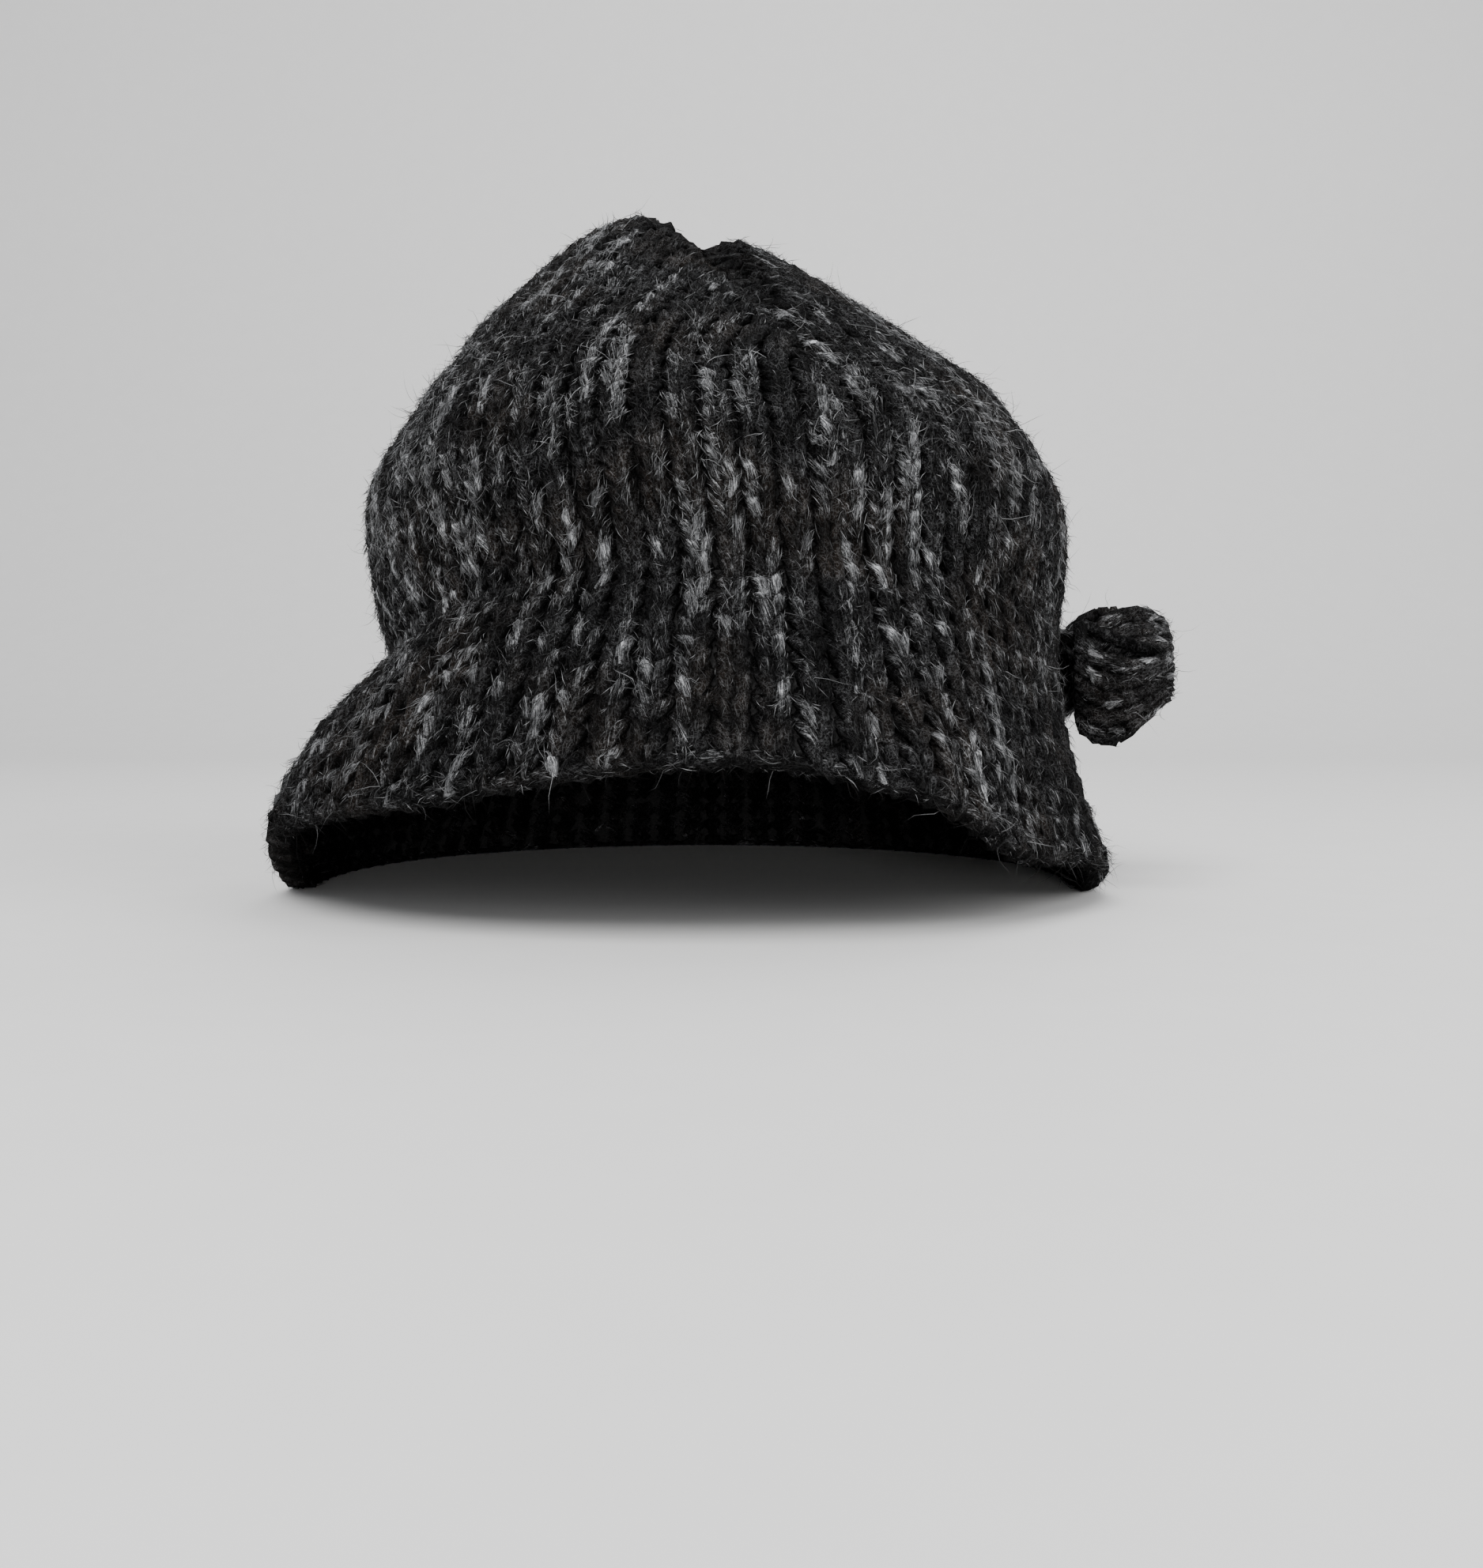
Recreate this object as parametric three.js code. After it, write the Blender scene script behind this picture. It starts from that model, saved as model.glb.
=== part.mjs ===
// A knitted bucket hat: a crown drawn in at the top, a flared brim and a small bow at its right side.
// Millimetres, +Z up, the front of the hat towards -Y. The brim rests on the plane z = 0.
import * as THREE from "three";

// Knitted wall
const WALES = 88; // columns of stitches around the hat
const WALL = 6; // thickness of the knitting
const RIB = 1.1; // rise of a column of stitches over the grooves beside it
const RIM_ROUNDING = 2.1; // how far the middle of the free rim stands below its two edges
const GAP = 0.3; // clearance between neighbouring pieces

// Crease between crown and brim, an oval
const CREASE_HALF_WIDTH = 86;
const CREASE_HALF_DEPTH = 97;

// The brim at headings around the hat: heading 0 is the front, 90 the right side, 180 the back.
// swell is how far the brim bulges outward, as a share of its length from rim to crease.
const BRIM_HEADINGS = [
  { heading: 0, creaseHeight: 80, rimRadius: 121, rimHeight: 38.5, swell: 0.04 },
  { heading: 22, creaseHeight: 79, rimRadius: 118, rimHeight: 30.5, swell: 0.02 },
  { heading: 40, creaseHeight: 76, rimRadius: 106, rimHeight: 16, swell: -0.04 },
  { heading: 62, creaseHeight: 70, rimRadius: 102.5, rimHeight: 12, swell: -0.1 },
  { heading: 90, creaseHeight: 61, rimRadius: 98.5, rimHeight: 0, swell: -0.13 },
  { heading: 135, creaseHeight: 54, rimRadius: 113, rimHeight: 0, swell: 0.02 },
  { heading: 180, creaseHeight: 52, rimRadius: 124, rimHeight: 0, swell: 0.12 },
  { heading: 225, creaseHeight: 52, rimRadius: 124, rimHeight: 0, swell: 0.15 },
  { heading: 272, creaseHeight: 53, rimRadius: 115, rimHeight: 0, swell: 0.2 },
  { heading: 283, creaseHeight: 55, rimRadius: 117, rimHeight: 8, swell: 0.2 },
  { heading: 295, creaseHeight: 59, rimRadius: 119, rimHeight: 19, swell: 0.18 },
  { heading: 328, creaseHeight: 74, rimRadius: 121, rimHeight: 29.5, swell: 0.08 },
];

// Crown sections from the crease (rise 0) to the drawn-in middle of the top (rise 1).
// shift moves the section sideways, follow is the share of the crease's own ups and downs that it keeps.
const CROWN_SECTIONS = [
  { rise: 0, halfWidth: 86, halfDepth: 97, height: 60, shift: 0, follow: 1 },
  { rise: 0.14, halfWidth: 89.5, halfDepth: 101, height: 81, shift: -1.5, follow: 0.72 },
  { rise: 0.28, halfWidth: 89, halfDepth: 102, height: 100, shift: -3, follow: 0.4 },
  { rise: 0.43, halfWidth: 79, halfDepth: 93, height: 118, shift: -5, follow: 0.18 },
  { rise: 0.58, halfWidth: 64, halfDepth: 77, height: 134, shift: -8, follow: 0.06 },
  { rise: 0.73, halfWidth: 46, halfDepth: 57, height: 148, shift: -10.5, follow: 0 },
  { rise: 0.88, halfWidth: 25, halfDepth: 31, height: 161, shift: -12.5, follow: 0 },
  { rise: 1, halfWidth: 0, halfDepth: 0, height: 166, shift: -13, follow: 0 },
];

// Clefts where the top is drawn together: a cross of four, deepest in the middle
const CLEFTS = [
  { heading: 15, reach: 88, depth: 20, halfWidth: 12 },
  { heading: 96, reach: 50, depth: 9, halfWidth: 11 },
  { heading: 184, reach: 66, depth: 19, halfWidth: 12 },
  { heading: 276, reach: 52, depth: 9, halfWidth: 11 },
];
const CLEFT_BACK_FADE = 8; // how far a cleft runs on past the middle of the top
const CLEFT_END_WIDTH = 0.45; // width that a cleft keeps at its end, as a share of its full width

// Lobes that puff up between the clefts
const LOBES = [
  { heading: 45, lift: 3 },
  { heading: 135, lift: 1 },
  { heading: 225, lift: 6 },
  { heading: 315, lift: 10.5 },
];
const LOBE_INNER = 12; // a lobe reaches its full lift at this distance from the middle
const LOBE_OUTER = 38; // and fades away around this distance

// Soft folds in the wall: a positive depth is a dent, a negative one a bulge
const FOLDS = [
  { heading: 280, rise: 0.43, headingSpread: 28, riseSpread: 0.08, depth: 3 },
  { heading: 300, rise: 0.56, headingSpread: 30, riseSpread: 0.06, depth: 2.2 },
  { heading: 76, rise: 0.32, headingSpread: 20, riseSpread: 0.08, depth: 2 },
  { heading: 74, rise: 0.5, headingSpread: 22, riseSpread: 0.05, depth: -2.4 },
  { heading: 80, rise: 0.74, headingSpread: 22, riseSpread: 0.07, depth: -2 },
  { heading: 22, rise: 0.5, headingSpread: 16, riseSpread: 0.1, depth: 2.4 },
  { heading: 200, rise: 0.35, headingSpread: 34, riseSpread: 0.08, depth: 2 },
];

// Bow at the right side, below the crease: two loops of a knitted strip and a wrap around their pinch.
// fan turns a loop along the hat, climb raises its far end, sag lowers its middle, roll leans it over,
// pinch, height and tip are the strip's heights at the wrap, halfway out and at the far end,
// open is half of the loop's hollow, skew raises the half behind and lowers the half in front,
// seat and aside are how far out of the wall and along the hat it leaves the wrap.
const BOW_HEADING = 86;
const BOW_DROP = 6; // middle of the bow below the crease
const BOW_STRIP = 5.5; // thickness of the strip
const BOW_LOOPS = [
  {
    name: "front", reach: 20.5, fan: -28, climb: -1, sag: 4, roll: 2,
    pinch: 25, height: 23, tip: 14.5, open: 3.5, skew: 2.2, seat: 5.9, aside: 9.8,
  },
  {
    name: "rear", reach: 30, fan: 28, climb: 7, sag: -4, roll: -8,
    pinch: 17, height: 22, tip: 16, open: 4.5, skew: 1, seat: 4.6, aside: 10.9,
  },
];
const BOW_WALES = 5; // columns of stitches across the strip
const BOW_RIB = 0.9;
const BOW_ARCH = 2.2; // how far the middle of the strip bulges out of the loop
const KNOT_HALF_WIDTH = 5.5; // half of the wrap's width along the hat
const KNOT_HALF_HEIGHT = 11;
const KNOT_RISE = 11; // how far the wrap stands out from the wall
const KNOT_EDGE = 3.5; // thickness of the wrap at its edge

// Facets
const OUTER_COUNT = 2 * WALES; // points around the outside: a ridge and a groove for each column
const MIDDLE_COUNT = WALES;
const TOP_COUNT = WALES / 2;
const INNER_COUNT = WALES / 2;

const CHARCOAL = new THREE.MeshStandardMaterial({ color: 0x2b2a2b, roughness: 0.95, metalness: 0 });
const MARL = new THREE.MeshStandardMaterial({ color: 0x343336, roughness: 0.95, metalness: 0 });

const radians = THREE.MathUtils.degToRad;
const clamp = THREE.MathUtils.clamp;
const FULL_TURN = 2 * Math.PI;

// Cubic curve between two values with given slopes, t from 0 to 1
function hermite(t, from, fromSlope, to, toSlope) {
  const t2 = t * t;
  const t3 = t2 * t;
  return (
    (2 * t3 - 3 * t2 + 1) * from +
    (t3 - 2 * t2 + t) * fromSlope +
    (3 * t2 - 2 * t3) * to +
    (t3 - t2) * toSlope
  );
}

// A column of a table, smooth along the column named key
function along(rows, key, column, value) {
  const last = rows.length - 1;
  const place = clamp(value, rows[0][key], rows[last][key]);
  let i = 0;
  while (i < last - 1 && rows[i + 1][key] <= place) i += 1;
  const slope = (k) => {
    const before = rows[Math.max(k - 1, 0)];
    const after = rows[Math.min(k + 1, last)];
    return (after[column] - before[column]) / (after[key] - before[key]);
  };
  const width = rows[i + 1][key] - rows[i][key];
  const t = (place - rows[i][key]) / width;
  return hermite(t, rows[i][column], slope(i) * width, rows[i + 1][column], slope(i + 1) * width);
}

// A column of a table of headings, smooth all the way round the hat
function around(rows, column, heading) {
  const count = rows.length;
  const place = THREE.MathUtils.euclideanModulo(THREE.MathUtils.radToDeg(heading), 360);
  const before = rows.findLastIndex((candidate) => candidate.heading <= place);
  const i = before < 0 ? count - 1 : before;
  const row = (k) => rows[(k + count) % count];
  const span = (a, b) => THREE.MathUtils.euclideanModulo(b.heading - a.heading, 360);
  const width = span(row(i), row(i + 1));
  const t = THREE.MathUtils.euclideanModulo(place - row(i).heading, 360) / width;
  const slope = (k) =>
    (row(k + 1)[column] - row(k - 1)[column]) / (span(row(k - 1), row(k)) + span(row(k), row(k + 1)));
  return hermite(t, row(i)[column], slope(i) * width, row(i + 1)[column], slope(i + 1) * width);
}

// Radius of an oval at a heading
function ovalRadius(halfWidth, halfDepth, heading) {
  const across = Math.sin(heading) / Math.max(halfWidth, 1e-6);
  const deep = Math.cos(heading) / Math.max(halfDepth, 1e-6);
  return 1 / Math.hypot(across, deep);
}

// How far the clefts cut down into the top at a place measured from its middle
function cleftDrop(x, y) {
  let drop = 0;
  for (const cleft of CLEFTS) {
    const turn = radians(cleft.heading);
    const outward = x * Math.sin(turn) - y * Math.cos(turn);
    const aside = Math.abs(x * Math.cos(turn) + y * Math.sin(turn));
    const left = clamp(1 - Math.max(outward, 0) / cleft.reach, 0, 1);
    const fade = outward < 0 ? clamp(1 + outward / CLEFT_BACK_FADE, 0, 1) : left * (2 - left);
    const halfWidth = cleft.halfWidth * THREE.MathUtils.lerp(CLEFT_END_WIDTH, 1, fade);
    const near = clamp(1 - aside / halfWidth, 0, 1);
    drop = Math.max(drop, cleft.depth * fade * (1 - Math.sqrt(1 - near * near)));
  }
  return drop;
}

// How far the soft folds push the wall inward
function foldDepth(heading, rise) {
  let depth = 0;
  for (const fold of FOLDS) {
    const off = THREE.MathUtils.radToDeg(heading) - fold.heading;
    const turn = (THREE.MathUtils.euclideanModulo(off + 180, 360) - 180) / fold.headingSpread;
    const lift = (rise - fold.rise) / fold.riseSpread;
    depth += fold.depth * Math.exp(-turn * turn - lift * lift);
  }
  return depth;
}

// Outside of the crown.
// Without its clefts and folds it is the smooth dome that the wall's thickness is measured from.
function crownPoint(heading, rise, folded = true) {
  const column = (name) => along(CROWN_SECTIONS, "rise", name, rise);
  const oval = ovalRadius(column("halfWidth"), column("halfDepth"), heading);
  const radius = oval - (folded ? Math.min(foldDepth(heading, rise), oval / 2) : 0);
  const creaseRise = around(BRIM_HEADINGS, "creaseHeight", heading) - CROWN_SECTIONS[0].height;
  const x = radius * Math.sin(heading);
  const y = -radius * Math.cos(heading);
  let z = column("height") + creaseRise * column("follow");
  if (folded) {
    const puff = clamp(radius / LOBE_INNER, 0, 1) * Math.exp(-((radius / LOBE_OUTER) ** 2));
    z += around(LOBES, "lift", heading) * puff - cleftDrop(x, y);
  }
  return new THREE.Vector3(x + column("shift"), y, z);
}

// Outside of the brim, from its rim (climb 0) to the crease (climb 1).
// In each upright plane through the axis it is a bowed slant.
function brimPoint(heading, climb) {
  const crease = new THREE.Vector2(
    ovalRadius(CREASE_HALF_WIDTH, CREASE_HALF_DEPTH, heading),
    around(BRIM_HEADINGS, "creaseHeight", heading),
  );
  const rim = new THREE.Vector2(
    around(BRIM_HEADINGS, "rimRadius", heading),
    Math.max(around(BRIM_HEADINGS, "rimHeight", heading), 0),
  );
  const slant = crease.clone().sub(rim);
  const pull = around(BRIM_HEADINGS, "swell", heading);
  const bulge = new THREE.Vector2(slant.y, -slant.x).multiplyScalar(pull);
  const bow = rim.clone().lerp(crease, 0.5).add(bulge);
  const low = rim.lerp(bow, climb);
  const high = bow.clone().lerp(crease, climb);
  const place = low.lerp(high, climb);
  return new THREE.Vector3(place.x * Math.sin(heading), -place.x * Math.cos(heading), place.y);
}

// Outward direction of a surface that runs around the hat and up it
function outward(surface, heading, height) {
  const turn = 0.01;
  const step = 0.01;
  const sideways = surface(heading + turn, height).sub(surface(heading - turn, height));
  const above = surface(heading, Math.min(height + step, 1));
  const upward = above.sub(surface(heading, Math.max(height - step, 0)));
  return sideways.cross(upward).normalize();
}

const smoothCrown = (heading, rise) => crownPoint(heading, rise, false);

// At the crease crown and brim share one outward direction, so their ends lie face to face
function creaseOutward(heading) {
  return outward(smoothCrown, heading, 0).add(outward(brimPoint, heading, 1)).normalize();
}

// Direction along the wall, upward, at the crease
function creaseUpward(heading) {
  const sideways = new THREE.Vector3(Math.cos(heading), Math.sin(heading), 0);
  return creaseOutward(heading).cross(sideways).normalize();
}

// A ring of points around the hat
function ring(count, place) {
  return Array.from({ length: count }, (_, index) => place((FULL_TURN * index) / count, index));
}

// Rise of the ribs: a ridge at every second point
const ribAt = (index) => (index % 2 === 0 ? RIB / 2 : -RIB / 2);

// The ribs sink into the drawn-in top, from one rise to another, down to a share of their full rise
const RIB_FADE = { from: 0.25, to: 0.6, left: 0.25 };
const ribFade = (rise) =>
  THREE.MathUtils.lerp(1, RIB_FADE.left, THREE.MathUtils.smoothstep(rise, RIB_FADE.from, RIB_FADE.to));

// A closed surface through rings of points.
// Neighbouring rings may differ in count, and a ring of one point closes it.
function skin(rings, looped) {
  const points = [];
  const starts = rings.map((loop) => points.push(...loop) - loop.length);
  const faces = [];
  const pairs = looped ? rings.length : rings.length - 1;
  for (let r = 0; r < pairs; r += 1) {
    const next = (r + 1) % rings.length;
    zip(faces, starts[r], rings[r].length, starts[next], rings[next].length);
  }
  return faceted(points, faces);
}

// Triangles between two rings, walking round both together
function zip(faces, startA, countA, startB, countB) {
  let a = 0;
  let b = 0;
  const stepsA = countA > 1 ? countA : 0;
  const stepsB = countB > 1 ? countB : 0;
  while (a < stepsA || b < stepsB) {
    const pointA = startA + (a % countA);
    const pointB = startB + (b % countB);
    if (b >= stepsB || (a < stepsA && (a + 1) / countA <= (b + 1) / countB)) {
      faces.push(pointA, startA + ((a + 1) % countA), pointB);
      a += 1;
    } else {
      faces.push(pointA, startB + ((b + 1) % countB), pointB);
      b += 1;
    }
  }
}

function faceted(points, faces) {
  const geometry = new THREE.BufferGeometry().setFromPoints(points);
  geometry.setIndex(faces);
  geometry.computeVertexNormals();
  return geometry;
}

function piece(name, geometry, material) {
  const mesh = new THREE.Mesh(geometry, material);
  mesh.name = name;
  return mesh;
}

// Crown: inner skin from the middle down to the crease, then the outside up to the middle again
function makeCrown() {
  const innerRises = [0.97, 0.93, 0.87, 0.8, 0.72, 0.63, 0.54, 0.45, 0.36, 0.27, 0.18, 0.09];
  const outerRises = [0.07, 0.14, 0.21, 0.28, 0.35, 0.42, 0.49, 0.56];
  const middleRises = [0.62, 0.68, 0.74, 0.8, 0.86];
  const topRises = [0.91, 0.95, 0.98];
  const inside = (heading, rise) =>
    crownPoint(heading, rise).addScaledVector(outward(smoothCrown, heading, rise), -WALL);
  const outside = (heading, rise, rib) =>
    crownPoint(heading, rise).addScaledVector(outward(smoothCrown, heading, rise), rib);
  const seat = (heading, depth) =>
    crownPoint(heading, 0)
      .addScaledVector(creaseOutward(heading), depth)
      .addScaledVector(creaseUpward(heading), GAP / 2);
  const middle = crownPoint(0, 1);
  return skin(
    [
      [middle.clone().setZ(middle.z - WALL)],
      ...innerRises.map((rise) => ring(INNER_COUNT, (heading) => inside(heading, rise))),
      ring(INNER_COUNT, (heading) => seat(heading, -WALL)),
      ring(OUTER_COUNT, (heading, index) => seat(heading, ribAt(index))),
      ...outerRises.map((rise) =>
        ring(OUTER_COUNT, (heading, index) => outside(heading, rise, ribAt(index) * ribFade(rise))),
      ),
      ...middleRises.map((rise) => ring(MIDDLE_COUNT, (heading) => outside(heading, rise, 0))),
      ...topRises.map((rise) => ring(TOP_COUNT, (heading) => outside(heading, rise, 0))),
      [middle],
    ],
    false,
  );
}

// Brim: the outside up from the rim, over the seat at the crease, and down the inside.
// The rim is rounded where it is free and flat where it rests.
function makeBrim() {
  const climbs = [0.16, 0.33, 0.5, 0.67, 0.84];
  const lowest = 0.05; // climb of the stretch that gives the rim its direction
  const onFloor = (point) => point.setZ(Math.max(point.z, 0));
  const outside = (heading, climb, rib) =>
    brimPoint(heading, climb).addScaledVector(outward(brimPoint, heading, climb), rib);
  const seat = (heading, depth) =>
    brimPoint(heading, 1)
      .addScaledVector(creaseOutward(heading), depth)
      .addScaledVector(creaseUpward(heading), -GAP / 2);
  const edge = (heading) => {
    const downward = brimPoint(heading, 0).sub(brimPoint(heading, lowest)).normalize();
    return onFloor(outside(heading, 0, -WALL / 2).addScaledVector(downward, RIM_ROUNDING));
  };
  return skin(
    [
      ring(OUTER_COUNT, (heading, index) => onFloor(outside(heading, 0, ribAt(index)))),
      ...climbs.map((climb) =>
        ring(OUTER_COUNT, (heading, index) => outside(heading, climb, ribAt(index))),
      ),
      ring(OUTER_COUNT, (heading, index) => seat(heading, ribAt(index))),
      ring(INNER_COUNT, (heading) => seat(heading, -WALL)),
      ...climbs
        .toReversed()
        .map((climb) => ring(INNER_COUNT, (heading) => outside(heading, climb, -WALL))),
      ring(MIDDLE_COUNT, (heading) => onFloor(outside(heading, 0, -WALL))),
      ring(MIDDLE_COUNT, edge),
    ],
    true,
  );
}

// Distance from the hat's axis to the outside of its wall at a height, near the crease
function wallRadius(heading, height) {
  const steps = 40;
  const topRise = 0.3;
  const column = [];
  for (let k = 0; k <= steps; k += 1) column.push(brimPoint(heading, k / steps));
  for (let k = 1; k <= steps; k += 1) column.push(crownPoint(heading, (topRise * k) / steps));
  let i = 0;
  while (i < column.length - 2 && column[i + 1].z < height) i += 1;
  const low = column[i];
  const high = column[i + 1];
  const t = (height - low.z) / (high.z - low.z);
  return THREE.MathUtils.lerp(Math.hypot(low.x, low.y), Math.hypot(high.x, high.y), t);
}

// Middle of the bow on the wall, with the direction out of the hat's side
const BOW_TURN = radians(BOW_HEADING);
const BOW_HEIGHT = crownPoint(BOW_TURN, 0).z - BOW_DROP;
const BOW_OUT = new THREE.Vector3(Math.sin(BOW_TURN), -Math.cos(BOW_TURN), 0);
const BOW_SIDE = new THREE.Vector3(Math.cos(BOW_TURN), Math.sin(BOW_TURN), 0);
const UP = new THREE.Vector3(0, 0, 1);
const BOW_MIDDLE = BOW_OUT.clone().multiplyScalar(wallRadius(BOW_TURN, BOW_HEIGHT)).setZ(BOW_HEIGHT);

// Wrap of the bow: a pillow whose back follows the wall and whose front is domed
function makeKnot() {
  const levels = [0.3, 0.6, 0.85, 1];
  const spokes = 20;
  const clear = GAP + RIB / 2;
  const flattening = 0.92;
  const wallAt = (side, up) => {
    const heading = BOW_TURN + side / CREASE_HALF_WIDTH;
    return wallRadius(heading, BOW_HEIGHT + up) * Math.cos(heading - BOW_TURN);
  };
  const spot = (level, turn, front) => {
    const side = KNOT_HALF_WIDTH * level * Math.cos(turn);
    const up = KNOT_HALF_HEIGHT * level * Math.sin(turn);
    const back = wallAt(side, up) + clear;
    const crest = wallAt(0, 0) + KNOT_RISE * Math.sqrt(1 - flattening * level * level);
    return new THREE.Vector3()
      .addScaledVector(BOW_OUT, front ? Math.max(crest, back + KNOT_EDGE) : back)
      .addScaledVector(BOW_SIDE, side)
      .setZ(BOW_HEIGHT + up);
  };
  const loop = (level, front) =>
    Array.from({ length: spokes }, (_, k) => spot(level, (FULL_TURN * k) / spokes, front));
  return skin(
    [
      [spot(0, 0, false)],
      ...levels.map((level) => loop(level, false)),
      ...levels.toReversed().map((level) => loop(level, true)),
      [spot(0, 0, true)],
    ],
    false,
  );
}

// Smooth value through three evenly spaced ones, by the share of the way from the first to the last
function throughThree(first, middle, last, share) {
  return (
    first * (1 - share) * (1 - 2 * share) +
    middle * 4 * share * (1 - share) +
    last * share * (2 * share - 1)
  );
}

// A loop of the bow: the strip leaves the wrap, turns round at the far end and comes back behind itself
function makeLoop({ reach, fan, climb, sag, roll, pinch, height, tip, open, skew, seat, aside }) {
  const steps = 22;
  const crosswise = 2 * BOW_WALES;
  const insideStep = 3; // the inside of the strip has fewer points than the ribbed outside
  const stride = 0.02; // half of the turn that gives the strip its direction
  const endTurn = 0.2; // the strip keeps this turn's direction up to its end
  const axis = BOW_OUT.clone().applyAxisAngle(UP, radians(fan));
  const upright = UP.clone().applyAxisAngle(axis, radians(roll));
  const across = upright.clone().cross(axis);
  const start = BOW_MIDDLE.clone()
    .addScaledVector(BOW_OUT, seat)
    .addScaledVector(BOW_SIDE, Math.sign(fan) * aside);
  const farness = (turn) => (1 - Math.cos(turn)) / 2;
  const rail = (turn) => {
    const far = farness(turn);
    const beside = (BOW_STRIP / 2 + GAP) * Math.cos(turn / 2);
    const apart = beside + open * Math.sin(turn) * Math.sin(turn / 2);
    return start.clone()
      .addScaledVector(axis, reach * far)
      .addScaledVector(UP, climb * far - 4 * sag * far * (1 - far))
      .addScaledVector(across, apart);
  };
  const section = (turn) => {
    const steer = clamp(turn, endTurn, FULL_TURN - endTurn);
    const ahead = rail(steer + stride).sub(rail(steer - stride)).normalize();
    const through = upright.clone().cross(ahead).normalize();
    const far = farness(turn);
    const tall = throughThree(pinch, height, tip, far);
    const place = (share, depth) => {
      const arch = BOW_ARCH * Math.sin(turn / 2) * (1 - 4 * share * share);
      const up = tall * share + skew * Math.sin(turn);
      return rail(turn).addScaledVector(upright, up).addScaledVector(through, depth + arch);
    };
    const points = [];
    for (let k = 0; k <= crosswise; k += 1) {
      const rib = k % 2 === 1 ? BOW_RIB / 2 : -BOW_RIB / 2;
      points.push(place(k / crosswise - 0.5, BOW_STRIP / 2 + rib));
    }
    for (let k = crosswise; k >= 0; k -= insideStep) {
      points.push(place(k / crosswise - 0.5, -BOW_STRIP / 2));
    }
    return points;
  };
  const rings = Array.from({ length: steps + 1 }, (_, k) => section((FULL_TURN * k) / steps));
  const middleOf = (points) => [
    points.reduce((sum, point) => sum.add(point), new THREE.Vector3()).divideScalar(points.length),
  ];
  return skin([middleOf(rings[0]), ...rings, middleOf(rings[steps])], false);
}

const hat = new THREE.Group();
hat.add(piece("crown", makeCrown(), CHARCOAL));
hat.add(piece("brim", makeBrim(), CHARCOAL));
for (const loop of BOW_LOOPS) hat.add(piece(`bow_loop_${loop.name}`, makeLoop(loop), MARL));
hat.add(piece("bow_knot", makeKnot(), MARL));

// The middle of the hat's footprint is the origin
const box = new THREE.Box3().setFromObject(hat);
const middle = box.getCenter(new THREE.Vector3());
hat.position.set(-middle.x, -middle.y, -box.min.z);

const part = new THREE.Group();
part.add(hat);

export default part;
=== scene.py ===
import bpy
import numpy as np
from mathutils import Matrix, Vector


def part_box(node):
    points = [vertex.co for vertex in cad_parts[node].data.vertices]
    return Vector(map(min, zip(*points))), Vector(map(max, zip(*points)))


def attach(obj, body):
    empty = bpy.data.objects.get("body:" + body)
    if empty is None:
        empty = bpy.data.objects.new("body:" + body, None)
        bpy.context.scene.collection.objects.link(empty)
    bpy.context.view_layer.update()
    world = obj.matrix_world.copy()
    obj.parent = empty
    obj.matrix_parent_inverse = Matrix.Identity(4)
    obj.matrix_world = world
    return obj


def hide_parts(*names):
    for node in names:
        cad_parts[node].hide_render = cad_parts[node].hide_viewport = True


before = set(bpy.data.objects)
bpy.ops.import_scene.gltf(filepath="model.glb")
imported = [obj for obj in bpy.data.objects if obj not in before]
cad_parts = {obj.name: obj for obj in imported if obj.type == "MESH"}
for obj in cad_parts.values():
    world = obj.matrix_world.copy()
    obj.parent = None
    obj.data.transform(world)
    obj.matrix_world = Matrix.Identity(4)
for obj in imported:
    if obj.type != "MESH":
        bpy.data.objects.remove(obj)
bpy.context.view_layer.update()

# Sizes are in millimetres and headings in degrees, 0 at the front and 90 at the right side
MM = 0.001
TAU = 2 * np.pi
UP = np.array([0.0, 0.0, 1.0])
SIDEWAYS = np.array([1.0, 0.0, 0.0])
NUDGE = 1e-6  # keeps sizes and directions defined where a surface or a yarn comes to a point
SMALLEST = 1e-9  # shortest length that a vector is divided by

# Seeds of the random numbers
SEED = 41
RUN_SEED = SEED + 1
AREA_SEED = SEED + 2
RIM_SEED = SEED + 3
RIM_FLUFF_SEED = SEED + 4


def table(names, rows):
    """Columns of a table by name."""
    return dict(zip(names.split(), np.array(rows, float).T))


# Shape of the hat, with the same sizes as the solids
WALES = 88  # columns of stitches around the hat
WALL = 6.0
RIB = 1.1
CREASE_HALF_WIDTH = 86
CREASE_HALF_DEPTH = 97
BRIM = table(
    "heading crease_height rim_radius rim_height swell",
    [
        (0, 80, 121, 38.5, 0.04),
        (22, 79, 118, 30.5, 0.02),
        (40, 76, 106, 16, -0.04),
        (62, 70, 102.5, 12, -0.1),
        (90, 61, 98.5, 0, -0.13),
        (135, 54, 113, 0, 0.02),
        (180, 52, 124, 0, 0.12),
        (225, 52, 124, 0, 0.15),
        (272, 53, 115, 0, 0.2),
        (283, 55, 117, 8, 0.2),
        (295, 59, 119, 19, 0.18),
        (328, 74, 121, 29.5, 0.08),
    ],
)
CROWN = table(
    "rise half_width half_depth height shift follow",
    [
        (0, 86, 97, 60, 0, 1),
        (0.14, 89.5, 101, 81, -1.5, 0.72),
        (0.28, 89, 102, 100, -3, 0.4),
        (0.43, 79, 93, 118, -5, 0.18),
        (0.58, 64, 77, 134, -8, 0.06),
        (0.73, 46, 57, 148, -10.5, 0),
        (0.88, 25, 31, 161, -12.5, 0),
        (1, 0, 0, 166, -13, 0),
    ],
)
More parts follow.
